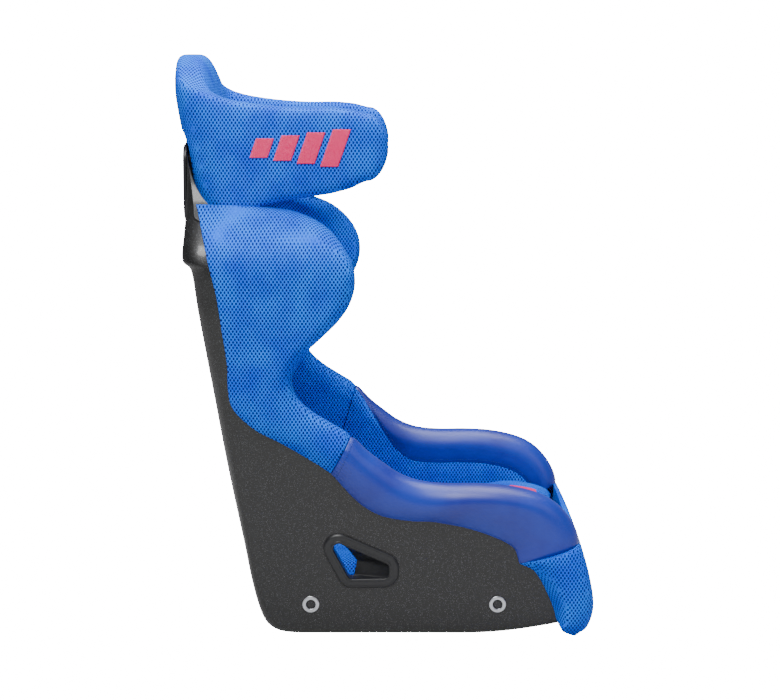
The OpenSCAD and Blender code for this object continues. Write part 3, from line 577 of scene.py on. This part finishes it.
heights = np.array([626, 606, 586, 570, 510, 430, 350, 280, 210, 150, 104.0])
low_back = np.array([p for p in shell_base if p[1] >= 75 and p[0] < 0], float)
back_line = np.interp(heights, low_back[:, 1], low_back[:, 0]) + SHELL_T
back_half = wall(heights) - 23
back_points = lambda ahead: np.stack([back_line + ahead, heights], -1)
back_lining = tube("back_lining", pad_rings(
    back_points(22.5), back_points(0.8), back_half, np.linspace(0, 10, 120), 12, 5, 5))
base_high = [
    [-140, 47], [-110, 43], [-40, 43], [30, 52], [100, 75], [160, 93], [205, 104], [245, 111],
    [272, 116], [288, 119]]
base_low = [
    [-140, 6], [-110, 5], [-40, 5], [30, 5], [100, 5], [160, 6], [205, 10], [245, 16], [272, 23], [288, 60]]
base_pad = tube("base_pad", pad_rings(
    base_high, base_low, [172] * 10, np.linspace(0, 9, 100), 14, 8, 6))
cut(base_pad, prism(rounded_outline(crotch_corners, 21), in_plan, -5, 220))
print("fixed padding: back", len(back_lining.data.polygons), "and base", len(base_pad.data.polygons), "faces")

# %% [markdown]
# ## The three lift-off cushions
# Each real cushion is foam in a zipped cover that is a little too small, so the foam fills it out
# and pulls the borders tight. Puffed fabric is hard to draw by hand, so each cushion starts a
# little thinner than it should be, and a short cloth simulation with air pressure inside blows it
# up. The sewn border is pressed in afterwards.

# %% Puff a closed form up as stitched cloth
CUSHION_LINES = {
    "seat_cushion": dict(
        front=[[-148, 84], [-110, 92], [-40, 93], [30, 104], [100, 130], [160, 150], [205, 160],
               [245, 160], [280, 153], [297, 144]],
        rear=[[-148, 50], [-110, 46], [-40, 46], [30, 55], [100, 78], [160, 96], [205, 107],
              [245, 114], [280, 121], [297, 125]], half=170),
    "back_cushion": dict(
        front=[[-236, 604], [-222, 570], [-210, 510], [-196, 430], [-178, 350], [-158, 280],
               [-140, 210], [-136, 150], [-142, 112]],
        rear=[[-256, 604], [-252, 570], [-246, 510], [-234, 430], [-221, 350], [-209, 280],
              [-197, 210], [-186, 150], [-180, 112]], half=150),
    "head_cushion": dict(
        front=[[-245, 818], [-234, 806], [-222, 780], [-209, 740], [-206, 690], [-212, 668]],
        rear=[[-251, 818], [-248.5, 806], [-243, 780], [-235, 740], [-225, 690], [-220.5, 668]], half=60)}


def co_of(piece):
    """A mesh's points as an array of rows."""
    co = np.empty(len(piece.data.vertices) * 3)
    piece.data.vertices.foreach_get("co", co)
    return co.reshape(-1, 3)


def set_co(piece, co):
    piece.data.vertices.foreach_set("co", co.astype(np.float32).ravel())
    piece.data.update()


def puff(piece, pressure=4.0, frames=20, size=0.006, cap=0.007):
    """Remeshes a closed form evenly, blows it up as cloth by no more than cap, and subdivides once."""
    grid = piece.modifiers.new("even", "REMESH")
    grid.mode, grid.voxel_size = "VOXEL", size
    bake(piece)
    before = co_of(piece)
    cloth = piece.modifiers.new("cloth", "CLOTH")
    cloth.settings.use_pressure = True
    cloth.settings.uniform_pressure_force = pressure
    cloth.settings.effector_weights.gravity = 0
    cloth.settings.quality = 6
    cloth.settings.tension_stiffness = cloth.settings.compression_stiffness = 30
    cloth.point_cache.frame_start, cloth.point_cache.frame_end = 1, frames
    for number in range(1, frames + 1):
        bpy.context.scene.frame_set(number)
    bake(piece)
    bpy.context.scene.frame_set(1)
    move = co_of(piece) - before
    far = np.linalg.norm(move, axis=1, keepdims=True)
    set_co(piece, before + move * np.minimum(1, cap / np.maximum(far, 1e-9)))
    print(piece.name, "moved up to", round(float(far.max() * 1000), 1), "mm before the cap")
    finer = piece.modifiers.new("finer", "SUBSURF")
    finer.levels = finer.render_levels = 1
    bake(piece)


cushions = {}
for name, line in CUSHION_LINES.items():
    front, rear = np.array(line["front"], float), np.array(line["rear"], float)
    shrink = (front - rear) * 0.5 * np.minimum(0.16, 4 / np.linalg.norm(front - rear, axis=1))[:, None]
    rings = pad_rings(front - shrink, rear + shrink, [line["half"] - 4] * len(front),
                      np.linspace(0.03, len(front) - 1.03, 90), 10, 4, 12)
    cushions[name] = tube(name, rings)
    puff(cushions[name])


# %% Press in the sewn border of each cushion
def press_border(piece, front, rear, half, deep=0.0022, wide=0.0045):
    """A bell-shaped groove round the cushion, halfway between its front and rear lines."""
    front, rear = np.asarray(front, float) / 1000, np.asarray(rear, float) / 1000
    middle, across = (front + rear) / 2, unit(front - rear)
    co = co_of(piece)
    near = ((co[:, None, [0, 2]] - middle[None]) ** 2).sum(-1).argmin(1)
    off = ((co[:, [0, 2]] - middle[near]) * across[near]).sum(-1)
    centre = np.stack([middle[:, 0].mean() + 0 * off, 0 * off, middle[:, 1].mean() + 0 * off], -1)
    side = np.abs(co[:, 1]) > (half - 30) / 1000
    inward = np.where(side[:, None], np.stack([0 * off, -np.sign(co[:, 1]), 0 * off], -1), unit(centre - co))
    set_co(piece, co + inward * (deep * np.exp(-((off / wide) ** 2)))[:, None])


for name, line in CUSHION_LINES.items():
    press_border(cushions[name], line["front"], line["rear"], line["half"])
    low, high = co_of(cushions[name]).min(0) * 1000, co_of(cushions[name]).max(0) * 1000
    print(name, "from", low.round(), "to", high.round())
cut(cushions["seat_cushion"], prism(rounded_outline(crotch_corners, 8), in_plan, 60, 260))

# %% [markdown]
# ## Slot bezels and inserts
# The harness slots are edged with moulded plastic. Growing a rounded outline outwards gives
# another rounded outline, so a bezel is one small cross-section carried round the slot: each point
# of the section becomes a ring. The same idea, with circles, turns the threaded inserts.


# %% Bezels
def bezel(name, corners, r, section, place, left=False):
    """A closed section of [distance outside the slot, depth] carried round the rounded outline."""
    rings = np.stack([place(rounded_outline(corners, r + d, 14), depth) for d, depth in section])
    return tube(name, side_flip(rings, left), capped=False)


def over_wall(outline, depth):
    """On the shell's side; inside, the liner's front wall slants back, so the inner end of the opening lies
    towards the rear.
    """
    x = outline[:, 0]
    slant = np.clip(-depth / 17, 0, 1) * np.maximum(0, x + 46 - 0.2 * (outline[:, 1] - 98))
    return np.stack([x - 0.92 * slant, -(wall(outline[:, 1]) + depth), outline[:, 1]], -1)


def rounded(section, r, steps=4):
    """The section with an arc-like curve at each corner, r or less from it."""
    p = np.asarray(section, float)
    before, after = np.roll(p, 1, 0), np.roll(p, -1, 0)
    cut_b = np.minimum(r, np.linalg.norm(before - p, axis=1) * 0.45)[:, None]
    cut_a = np.minimum(r, np.linalg.norm(after - p, axis=1) * 0.45)[:, None]
    a, b = p + unit(before - p) * cut_b, p + unit(after - p) * cut_a
    t = np.linspace(0, 1, steps)[None, :, None]
    return ((1 - t) ** 2 * a[:, None] + 2 * t * (1 - t) * p[:, None] + t**2 * b[:, None]).reshape(-1, 2)


lap_section = rounded([
    [0, -17], [0, 2.4], [1.2, 4.8], [3.4, 4.8], [5, 3.6], [10.5, 3.6], [12.5, 4.2], [14.5, 2.8],
    [16, 0.9], [16, 0.3], [1.8, 0.3], [1.8, -17]], 0.8)
rear_section = rounded([[0, -299.4], [0, -305], [10, -305], [11.5, -303], [13, -302.6], [13, -299.4]], 0.9)
front_section = rounded([
    [3, -298], [3, -239.7], [7, -239.7], [7, -237.5], [0, -237.5], [0, -298]], 0.9)
crotch_section = rounded([[0, 0.5], [0, 7.2], [11, 7.2], [12, 5.2], [2, 5.2], [2, 0.5]], 0.6)


def leaned_back(outline, depth):
    """Ahead of the shell's back the sleeve takes on the lean of the head panel."""
    lean = LEAN * np.clip((depth + 290) / 40, 0, 1)
    return np.stack([depth - lean * (outline[:, 1] - HALO_Z), outline[:, 0], outline[:, 1]], -1)


bezels = [bezel("crotch_slot_bezel", crotch_corners, 8, crotch_section, in_plan)]
for side, left in SIDES:
    bezels += [
        bezel("lap_slot_bezel_" + side, lap_corners, 8, lap_section, over_wall, left),
        bezel("shoulder_bezel_rear_side_" + side, slot_corners, 14, rear_section, across_back, left),
        bezel("shoulder_bezel_front_side_" + side, slot_corners, 14, front_section, leaned_back, left)]
print("bezels:", len(bezels))


# %% Inserts turned from profiles
def turned(name, profile, places, facing):
    """A profile of [radius, height] spun round an axis and repeated: facing is the outward direction."""
    a = np.linspace(0, 2 * np.pi, 48, endpoint=False)
    out = np.asarray(facing, float)
    side = unit(np.cross(out, [0.3, 0.4, 0.9]))
    up = np.cross(out, side)
    ring = np.cos(a)[:, None] * side + np.sin(a)[:, None] * up
    profile = np.asarray(profile, float)
    one = profile[:, 0, None, None] * ring + profile[:, 1, None, None] * out
    made = [tube(name, one + np.asarray(p, float), capped=False) for p in places]
    return join(name, made)


def join(name, pieces):
    """Several meshes as one object."""
    base = pieces[0]
    with bpy.context.temp_override(active_object=base, selected_editable_objects=pieces, object=base):
        bpy.ops.object.join()
    base.name = name
    return base


thread = [[3.5 + 0.35 * (k % 2), -8 + 0.6 * k] for k in range(9)]
# The threaded sleeve is blackened steel, and its dark colour also paints the shade inside each insert's
# recess.
sleeve_profile = thread + [[6.2, -2.6], [6.8, 0.9], [7.4, 0.9], [7.4, -3.2], [5, -8]]
flange_profile = [[7.5, 0.1], [7.5, 1.2], [8.1, 1.6], [12.2, 1.6], [12.8, 1.3], [13, 0.8], [13, 0.1]]
inserts, sleeves = [], []
for side, sign in (("right", -1), ("left", 1)):
    places = [[x, sign * 205, 48] for x in (-110, 180)]
    inserts.append(turned("insert_flanges_" + side, flange_profile, places, [0, sign, 0]))
    sleeves.append(turned("insert_threads_" + side, sleeve_profile, places, [0, sign, 0]))
print("inserts:", len(inserts))

# %% [markdown]
# ## Stitching and the embroidered bars
# Seams are read by their thread. A stitch is a tiny rounded rod, and hundreds of them along a
# path make one mesh: the path gives each rod its place and direction, all at once, as arrays.
# The embroidered mark on the wings and cushions is a plain set of slanted bars, laid on the
# cloth and raised by about a millimetre.


# %% Stitches along a path
def stitches(name, path, out, pitch=4.5, length=3.0, thick=0.9):
    """Rods along a path of points, lying on the surface whose outward directions are out."""
    path, out = np.asarray(path, float), np.asarray(out, float)
    run = np.concatenate([[0], np.cumsum(np.linalg.norm(np.diff(path, axis=0), axis=1))])
    at = np.arange(pitch / 2, run[-1], pitch)
    take = lambda v, s: np.stack([np.interp(s, run, v[:, k]) for k in range(3)], -1)
    centre = take(path, at)
    along = unit(take(path, at + 1) - take(path, at - 1))
    up = take(out, at)
    up = unit(up - (up * along).sum(-1, keepdims=True) * along)
    side = np.cross(along, up)
    a = np.linspace(0, 2 * np.pi, 6, endpoint=False)
    t = np.array([-1, -0.8, 0, 0.8, 1.0])
    fat = np.array([0.25, 0.85, 1, 0.85, 0.25]) * thick / 2
    lift = np.array([-0.35, 0, 0.12, 0, -0.35])
    rod = centre[:, None, None] + along[:, None, None] * (t * length / 2)[None, :, None, None]
    rod = rod + up[:, None, None] * (lift[:, None] + fat[:, None] * np.sin(a))[None, ..., None]
    rod = rod + side[:, None, None] * (fat[:, None] * np.cos(a))[None, ..., None]
    count, rows, cols = rod.shape[:3]
    quads = repeated(grid_quads(rows, cols, close_cols=True), count, rows * cols)
    k = np.arange(cols)
    caps = np.concatenate([
        np.stack([np.zeros(cols - 2, int), k[2:], k[1:-1]], -1),
        (rows - 1) * cols + np.stack([np.zeros(cols - 2, int), k[1:-1], k[2:]], -1)])
    return make_mesh(name, rod, quads, repeated(caps, count, rows * cols))


def cover_path(u, part, beside=0.0):
    """A path on the bolster at stations u and parts part, with outward directions, moved sideways in u."""
    got = [bolster(np.array([a]), np.array([b])) for a, b in zip(u + beside, part)]
    surface = np.concatenate([g[0][:, 0] for g in got])
    glued = np.concatenate([g[1][:, 0] for g in got])
    return surface, unit(surface - glued)


threads = {}
for side, left in SIDES:
    rows = []
    part = np.linspace(0.02, 2.6, 160)
    rows.append(cover_path(0 * part + SEAM_STATION, part, -0.22))
    u = np.linspace(0.4, SEAM_STATION - 0.3, 200)
    rows.append(cover_path(u, part_at(u, np.maximum(0.5, seam_distance(u) - 6))))
    s = np.linspace(HALO_START - 30, HALO_LEN - 34, 160)
    for out_sign in (1, -1):
        low, high = halo_heights(s).T
        z = low + 15 - 2 * (s > 370)
        level = (z - (low + high) / 2) / ((high - low) / 2)
        out = out_sign * halo_thickness(s) * np.maximum(1 - level**4, 0) ** 0.25
        path = halo_points(s, z + 1.8, out)
        away = halo_points(s, z + 1.8, out + out_sign) - path
        rows.append((path, away))
    made = [stitches("thread", side_flip(p, left), side_flip(n, left)) for p, n in rows]
    threads[side] = join("seam_stitching_" + side, made)
    print(threads[side].name, len(threads[side].data.polygons))


# %% Embroidered bars, pressed onto the cloth they decorate
def bars(name, target, centre, across, up, size, count=4, gap=0.26, thick=0.9, lean=0.35):
    """Slanted bars of satin stitch in the plane of across and up, dropped onto the target's surface."""
    centre, across, up = (np.asarray(v, float) for v in (centre, across, up))
    toward = np.cross(across, up)
    width = size[0] / (count - gap)
    grids = []
    u, v = np.meshgrid(np.linspace(0, 1, 14), np.linspace(0, 1, 40))
    for k in range(count):
        tall = size[1] * (1 - 0.16 * (count - 1 - k))
        a = -size[0] / 2 + k * width + u * width * (1 - gap) + (v - 0.5) * tall * lean
        b = (v - 0.5) * tall
        grids.append(centre + a[..., None] * across + b[..., None] * up + 8 * toward)
    piece = make_mesh(name, np.stack(grids), repeated(grid_quads(*u.shape), count, u.size))
    drop = piece.modifiers.new("drop", "SHRINKWRAP")
    drop.wrap_method, drop.target = "PROJECT", target
    drop.use_negative_direction = drop.use_positive_direction = True
    drop.offset = 0.0002
    bake(piece)
    skin = piece.modifiers.new("thread depth", "SOLIDIFY")
    skin.thickness, skin.offset = thick / 1000, 1
    bake(piece)
    return piece


marks = [
    bars("wing_bars_right", halo, [-124, -188, 752], [1, 0, 0], [0, 0, 1], [138, 56]),
    bars("wing_bars_left", halo, [-124, 188, 752], [-1, 0, 0], [0, 0, 1], [138, 56]),
    bars("head_bars", cushions["head_cushion"], [-214, 0, 760], [0, 1, 0], [-0.2, 0, 0.98], [72, 30]),
    bars("seat_bars", cushions["seat_cushion"], [238, 0, 162], [0, 1, 0], [-0.98, 0, 0.1], [170, 44])]
print("marks:", [len(m.data.polygons) for m in marks])

# %% [markdown]
# ## Materials
# Each finish is worked out by shader nodes from places on the object, in metres, so the weave has
# its real size everywhere. Colours are given as the hex code that a designer would pick, and one
# function turns them into the linear values that light needs.


# %% Colour and one helper for shader nodes
def linear(code):
    """An sRGB hex code as linear red, green, blue and alpha."""
    c = np.array([int(code[i:i + 2], 16) for i in (1, 3, 5)]) / 255
    return (*np.where(c <= 0.04045, c / 12.92, ((c + 0.055) / 1.055) ** 2.4), 1.0)


def add(tree, kind, inputs=(), **settings):
    """Adds one shader node: settings are its own options, inputs a dict of values or sockets."""
    node = tree.nodes.new("ShaderNode" + kind)
    for key, value in settings.items():
        setattr(node, key, value)
    for key, value in dict(inputs).items():
        if isinstance(value, bpy.types.NodeSocket):
            tree.links.new(value, node.inputs[key])
        else:
            node.inputs[key].default_value = value
    return node


def finish_named(name, **values):
    """A new material with a principled shader; returns it, its tree, its shader and the place socket."""
    mat = bpy.data.materials.new(name)
    mat.use_nodes = True
    tree = mat.node_tree
    shader = tree.nodes["Principled BSDF"]
    for key, value in values.items():
        shader.inputs[key.replace("_", " ")].default_value = value
    place = add(tree, "TexCoord").outputs["Object"]
    return mat, tree, shader, place


def math(tree, operation, *values, **more):
    node = add(tree, "Math", dict(enumerate(values)), operation=operation, **more)
    return node.outputs[0]


def mixed(tree, factor, first, second):
    """A colour between two: each is a value or a socket."""
    return add(tree, "Mix", {"Factor": factor, 6: first, 7: second}, data_type="RGBA").outputs[2]


def ramp(tree, value, low, high, colours=None):
    """Value stretched from low..high to 0..1 with soft ends, or between two colours."""
    span = {"Value": value, "From Min": low, "From Max": high}
    soft = add(tree, "MapRange", span, interpolation_type="SMOOTHSTEP").outputs["Result"]
    return mixed(tree, soft, *(linear(c) for c in colours)) if colours else soft


def bumped(tree, shader, height, distance, strength=1.0):
    node = add(tree, "Bump", {"Height": height, "Distance": distance, "Strength": strength})
    tree.links.new(node.outputs["Normal"], shader.inputs["Normal"])


def noise(tree, place, scale, detail):
    return add(tree, "TexNoise", {"Vector": place, "Scale": scale, "Detail": detail}).outputs["Fac"]


def cells(tree, place, scale):
    return add(tree, "TexVoronoi", {"Vector": place, "Scale": scale}).outputs


def paint(tree, shader, colour):
    tree.links.new(colour, shader.inputs["Base Color"])


# %% Spacer mesh: two knitted faces with open diamond holes, held apart by yarn
def spacer_mesh(name, yarn, hole_shade, pitch=0.0056, row=0.0042):
    """Holes repeat every pitch along a row, and rows sit row apart and are staggered by half a pitch."""
    mat, tree, shader, place = finish_named(
        name, Roughness=0.7, Sheen_Weight=0.03, Sheen_Roughness=0.45, Specular_IOR_Level=0.1)
    xyz = add(tree, "SeparateXYZ", {0: place}).outputs
    normal = add(tree, "SeparateXYZ", {0: add(tree, "TexCoord").outputs["Normal"]}).outputs
    wave = lambda v, size: math(tree, "COSINE", math(tree, "MULTIPLY", v, 2 * np.pi / size))
    total = weights = None
    for across, up, facing in ((1, 2, 0), (0, 2, 1), (0, 1, 2)):
        pattern = math(tree, "MULTIPLY", wave(xyz[across], pitch), wave(xyz[up], 2 * row))
        weight = math(tree, "POWER", math(tree, "ABSOLUTE", normal[facing]), 6.0)
        part = math(tree, "MULTIPLY", pattern, weight)
        total = part if total is None else math(tree, "ADD", total, part)
        weights = weight if weights is None else math(tree, "ADD", weights, weight)
    pattern = math(tree, "DIVIDE", total, weights)
    open_ = ramp(tree, pattern, -0.05, 0.5)
    fuzz = noise(tree, place, 900.0, 2.0)
    tone = noise(tree, place, 22.0, 1.0)
    mottle = math(tree, "ADD", math(tree, "MULTIPLY", fuzz, 0.6), math(tree, "MULTIPLY", tone, 0.4))
    yarn_tone = ramp(tree, mottle, 0.35, 0.65, yarn)
    # The holes are painted dark navy: the lower face seen through them, with the painted shade of the gap
    # between the faces.
    paint(tree, shader, mixed(tree, open_, yarn_tone, linear(hole_shade)))
    shader.inputs["Sheen Tint"].default_value = linear("#6fb0ff")
    bumped(tree, shader, math(tree, "SUBTRACT", math(tree, "MULTIPLY", fuzz, 0.15), open_), 0.0009, 0.8)
    return mat


# %% Smooth cloth, shell and hardware finishes
def coated_cloth(name, colours):
    """Soft coated fabric: faint grain and a low, wide shine."""
    mat, tree, shader, place = finish_named(name, Roughness=0.42, Sheen_Weight=0.04, Coat_Weight=0.1)
    grain = cells(tree, place, 900.0)["Distance"]
    tone = noise(tree, place, 14.0, 3.0)
    paint(tree, shader, ramp(tree, tone, 0.3, 0.7, colours))
    shader.inputs["Coat Roughness"].default_value = 0.4
    bumped(tree, shader, grain, 0.00012, 0.6)
    return mat


def flake_gelcoat(name):
    """Black gelcoat with silver flakes under a clear coat: cells of 1 mm, a few of them bright."""
    mat, tree, shader, place = finish_named(name, Roughness=0.5, Coat_Weight=0.3, Coat_Roughness=0.15)
    cell = cells(tree, place, 1100.0)
    red = add(tree, "SeparateXYZ", {0: cell["Color"]}).outputs[0]
    flake = ramp(tree, red, 0.74, 1.0)
    size = ramp(tree, cell["Distance"], 0.50, 0.28)
    shown = math(tree, "MULTIPLY", flake, size)
    paint(tree, shader, mixed(tree, shown, linear("#040405"), linear("#74777c")))
    tree.links.new(shown, shader.inputs["Metallic"])
    wave = noise(tree, place, 9.0, 2.0)
    bumped(tree, shader, wave, 0.0006, 0.4)
    return mat


def moulded_plastic(name, colour):
    """Injection-moulded ABS with a fine spark-eroded grain."""
    mat, tree, shader, place = finish_named(name, Roughness=0.42, Base_Color=linear(colour))
    grain = noise(tree, place, 1800.0, 2.0)
    bumped(tree, shader, grain, 0.00006, 0.5)
    return mat


def plated_steel(name, colour, roughness):
    """Plated or blackened steel, slightly uneven in its shine."""
    mat, tree, shader, place = finish_named(name, Metallic=1.0, Base_Color=linear(colour))
    blotch = noise(tree, place, 160.0, 3.0)
    node = add(tree, "MapRange", {"Value": blotch, "To Min": roughness * 0.7, "To Max": roughness * 1.5})
    tree.links.new(node.outputs["Result"], shader.inputs["Roughness"])
    return mat


def cut_foam(name):
    """Open-cell polyurethane foam, pale, with pores of about a millimetre."""
    mat, tree, shader, place = finish_named(name, Roughness=0.9, Subsurface_Weight=0.1)
    pores = cells(tree, place, 900.0)["Distance"]
    paint(tree, shader, ramp(tree, pores, 0.2, 0.6, ("#8d8873", "#c9c3ae")))
    bumped(tree, shader, pores, 0.0005, 0.7)
    return mat


def touch_tape(name):
    """Hook-and-loop tape: a dense black pile."""
    mat, tree, shader, place = finish_named(name, Roughness=0.95, Sheen_Weight=0.6)
    pile = noise(tree, place, 1500.0, 4.0)
    paint(tree, shader, ramp(tree, pile, 0.35, 0.7, ("#08080a", "#26272b")))
    bumped(tree, shader, pile, 0.0006, 0.9)
    return mat


def satin_thread(name, colour):
    """Embroidery thread laid side by side: fine ridges 0.8 mm apart with a silky shine."""
    mat, tree, shader, place = finish_named(name, Roughness=0.38, Base_Color=linear(colour), Sheen_Weight=0.1)
    xyz = add(tree, "SeparateXYZ", {0: place}).outputs
    sideways = math(tree, "MULTIPLY", math(tree, "ADD", xyz[0], xyz[1]), 0.5)
    way = math(tree, "ADD", xyz[2], sideways)
    ridge = math(tree, "SINE", math(tree, "MULTIPLY", way, 2 * np.pi / 0.0008))
    bumped(tree, shader, ridge, 0.00015, 0.7)
    return mat


# The spacer mesh's third colour is the painted shade in its holes.
mesh_cloth = spacer_mesh("polyester spacer mesh, knitted and heat set", ("#0048dc", "#0078ff"), "#000c60")
vinyl_cloth = coated_cloth("polyurethane coated cloth, calendered", ("#0a1c88", "#0c2c9c"))
gelcoat = flake_gelcoat("glass fibre with flake gelcoat, hand laid and polished")
plastic = moulded_plastic("ABS, injection moulded", "#17181b")
zinc = plated_steel("steel, zinc plated", "#c9cbd0", 0.28)
# Blackened steel for the mount plates; on the insert sleeves its darkness is also painted recess shade.
dark_steel_and_recess_shade = plated_steel("steel, blackened; painted recess shade in inserts", "#2a2b2e", 0.5)
foam = cut_foam("polyurethane foam, cut block")
tape = touch_tape("nylon hook-and-loop tape, woven")
thread_blue = satin_thread("polyester sewing thread, twisted", "#0d2f86")
thread_pink = satin_thread("rayon embroidery thread, satin stitch", "#e0005c")

# %% [markdown]
# ## Dressing the frame
# Every piece gets its finish, the body that it moves with, and the plain CAD solids that it
# stands for.


# %% Finish, body and stand-ins for each piece
def dress(piece, mat, body="seat", stands_for=()):
    piece.data.materials.clear()
    piece.data.materials.append(mat)
    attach(piece, body)
    if stands_for:
        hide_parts(*stands_for)


dress(shell, gelcoat, stands_for=["shell"])
dress(halo, mesh_cloth, stands_for=["halo_cover", "halo_foam"])
dress(nose, mesh_cloth, stands_for=["nose_cover", "nose_foam"])
dress(back_lining, mesh_cloth, stands_for=["back_foam", "back_panel"])
dress(base_pad, foam, stands_for=["base_foam"])
for side in ("right", "left"):
    dress(torso[side], mesh_cloth,
          stands_for=["torso_cover_" + side, "torso_foam_" + side])
    dress(thigh[side], vinyl_cloth,
          stands_for=["thigh_cover_" + side, "thigh_foam_" + side])
    dress(hip[side], mesh_cloth, stands_for=["hip_panel_" + side])
    dress(threads[side], thread_blue)
for name, piece in cushions.items():
    dress(piece, mesh_cloth, name, [name + "_cover", name + "_foam"])
cad_bezels = ["crotch_bezel"] + [
    part + side for side, _ in SIDES
    for part in ("lap_bezel_", "shoulder_bezel_rear_", "shoulder_bezel_front_")]
for piece, node in zip(bezels, cad_bezels):
    dress(piece, plastic, stands_for=[node])
for piece in inserts:
    dress(piece, zinc, stands_for=["mount_inserts"])
# The sleeves' dark steel is partly painted shade inside the insert recesses.
for piece in sleeves:
    dress(piece, dark_steel_and_recess_shade, stands_for=["mount_inserts"])
for mark, body in zip(marks, ("seat", "seat", "head_cushion", "seat_cushion")):
    dress(mark, thread_pink, body)
for node, mat in (
        ("mount_plates", dark_steel_and_recess_shade), ("loop_strips", tape), ("seat_hook_strips", tape),
        ("back_hook_strips", tape), ("head_hook_strips", tape)):
    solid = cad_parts[node]
    solid.data.materials.clear()
    solid.data.materials.append(mat)
    edge = solid.modifiers.new("softened edges", "BEVEL")
    edge.width, edge.segments, edge.limit_method = 0.0002, 2, "ANGLE"

# %% [markdown]
# ## Studio
# A pale floor, soft lights from above and both sides, and a camera at head height looking slightly
# down at the seat's right side. The floor and the sky are bright white to the camera, and add
# little or no light of their own to the seat.

# %% Floor, lights and camera
def glow(tree, strength, on_things, in_view):
    """One strength for the light that falls on things, and another for what the camera sees."""
    seen = add(tree, "LightPath").outputs["Is Camera Ray"]
    value = add(tree, "MapRange", {"Value": seen, "To Min": on_things, "To Max": in_view})
    tree.links.new(value.outputs["Result"], strength)


world = bpy.data.worlds.new("studio")
bpy.context.scene.world = world
world.use_nodes = True
sky = world.node_tree.nodes["Background"]
sky.inputs["Color"].default_value = linear("#ffffff")
glow(world.node_tree, sky.inputs["Strength"], 0.16, 20.0)

floor_mesh = bpy.data.meshes.new("studio_floor")
floor_corners = [(8 * x, 8 * y, -0.0005) for x, y in ((-1, -1), (1, -1), (1, 1), (-1, 1))]
floor_mesh.from_pydata(floor_corners, [], [(0, 1, 2, 3)])
floor = bpy.data.objects.new("studio_floor", floor_mesh)
bpy.context.scene.collection.objects.link(floor)
paper, paper_tree, paper_shader, _ = finish_named(
    "white paper, seamless roll", Roughness=0.9, Base_Color=linear("#c8c8c8"),
    Emission_Color=linear("#ffffff"))
glow(paper_tree, paper_shader.inputs["Emission Strength"], 0.0, 20.0)
floor.data.materials.append(paper)

for name, place, size, power in (
        ("key_light", (-0.7, -2.0, 3.1), 1.5, 165), ("fill_light", (2.2, -1.8, 1.8), 1.6, 14),
        ("top_light", (0.3, 0.2, 2.6), 1.6, 80)):
    lamp = bpy.data.objects.new(name, bpy.data.lights.new(name, "AREA"))
    lamp.data.size, lamp.data.energy = size, power
    lamp.location = place
    lamp.rotation_euler = (Vector((0, 0, 0.4)) - Vector(place)).to_track_quat("-Z", "Y").to_euler()
    bpy.context.scene.collection.objects.link(lamp)

camera = bpy.data.objects.new("camera", bpy.data.cameras.new("camera"))
camera.data.lens, camera.data.sensor_width = 84.6, 36
camera.location = (0.013, -2.95, 0.896)
camera.rotation_euler = Euler((np.radians(90 - 9.27), 0, 0))
bpy.context.scene.collection.objects.link(camera)
bpy.context.scene.camera = camera
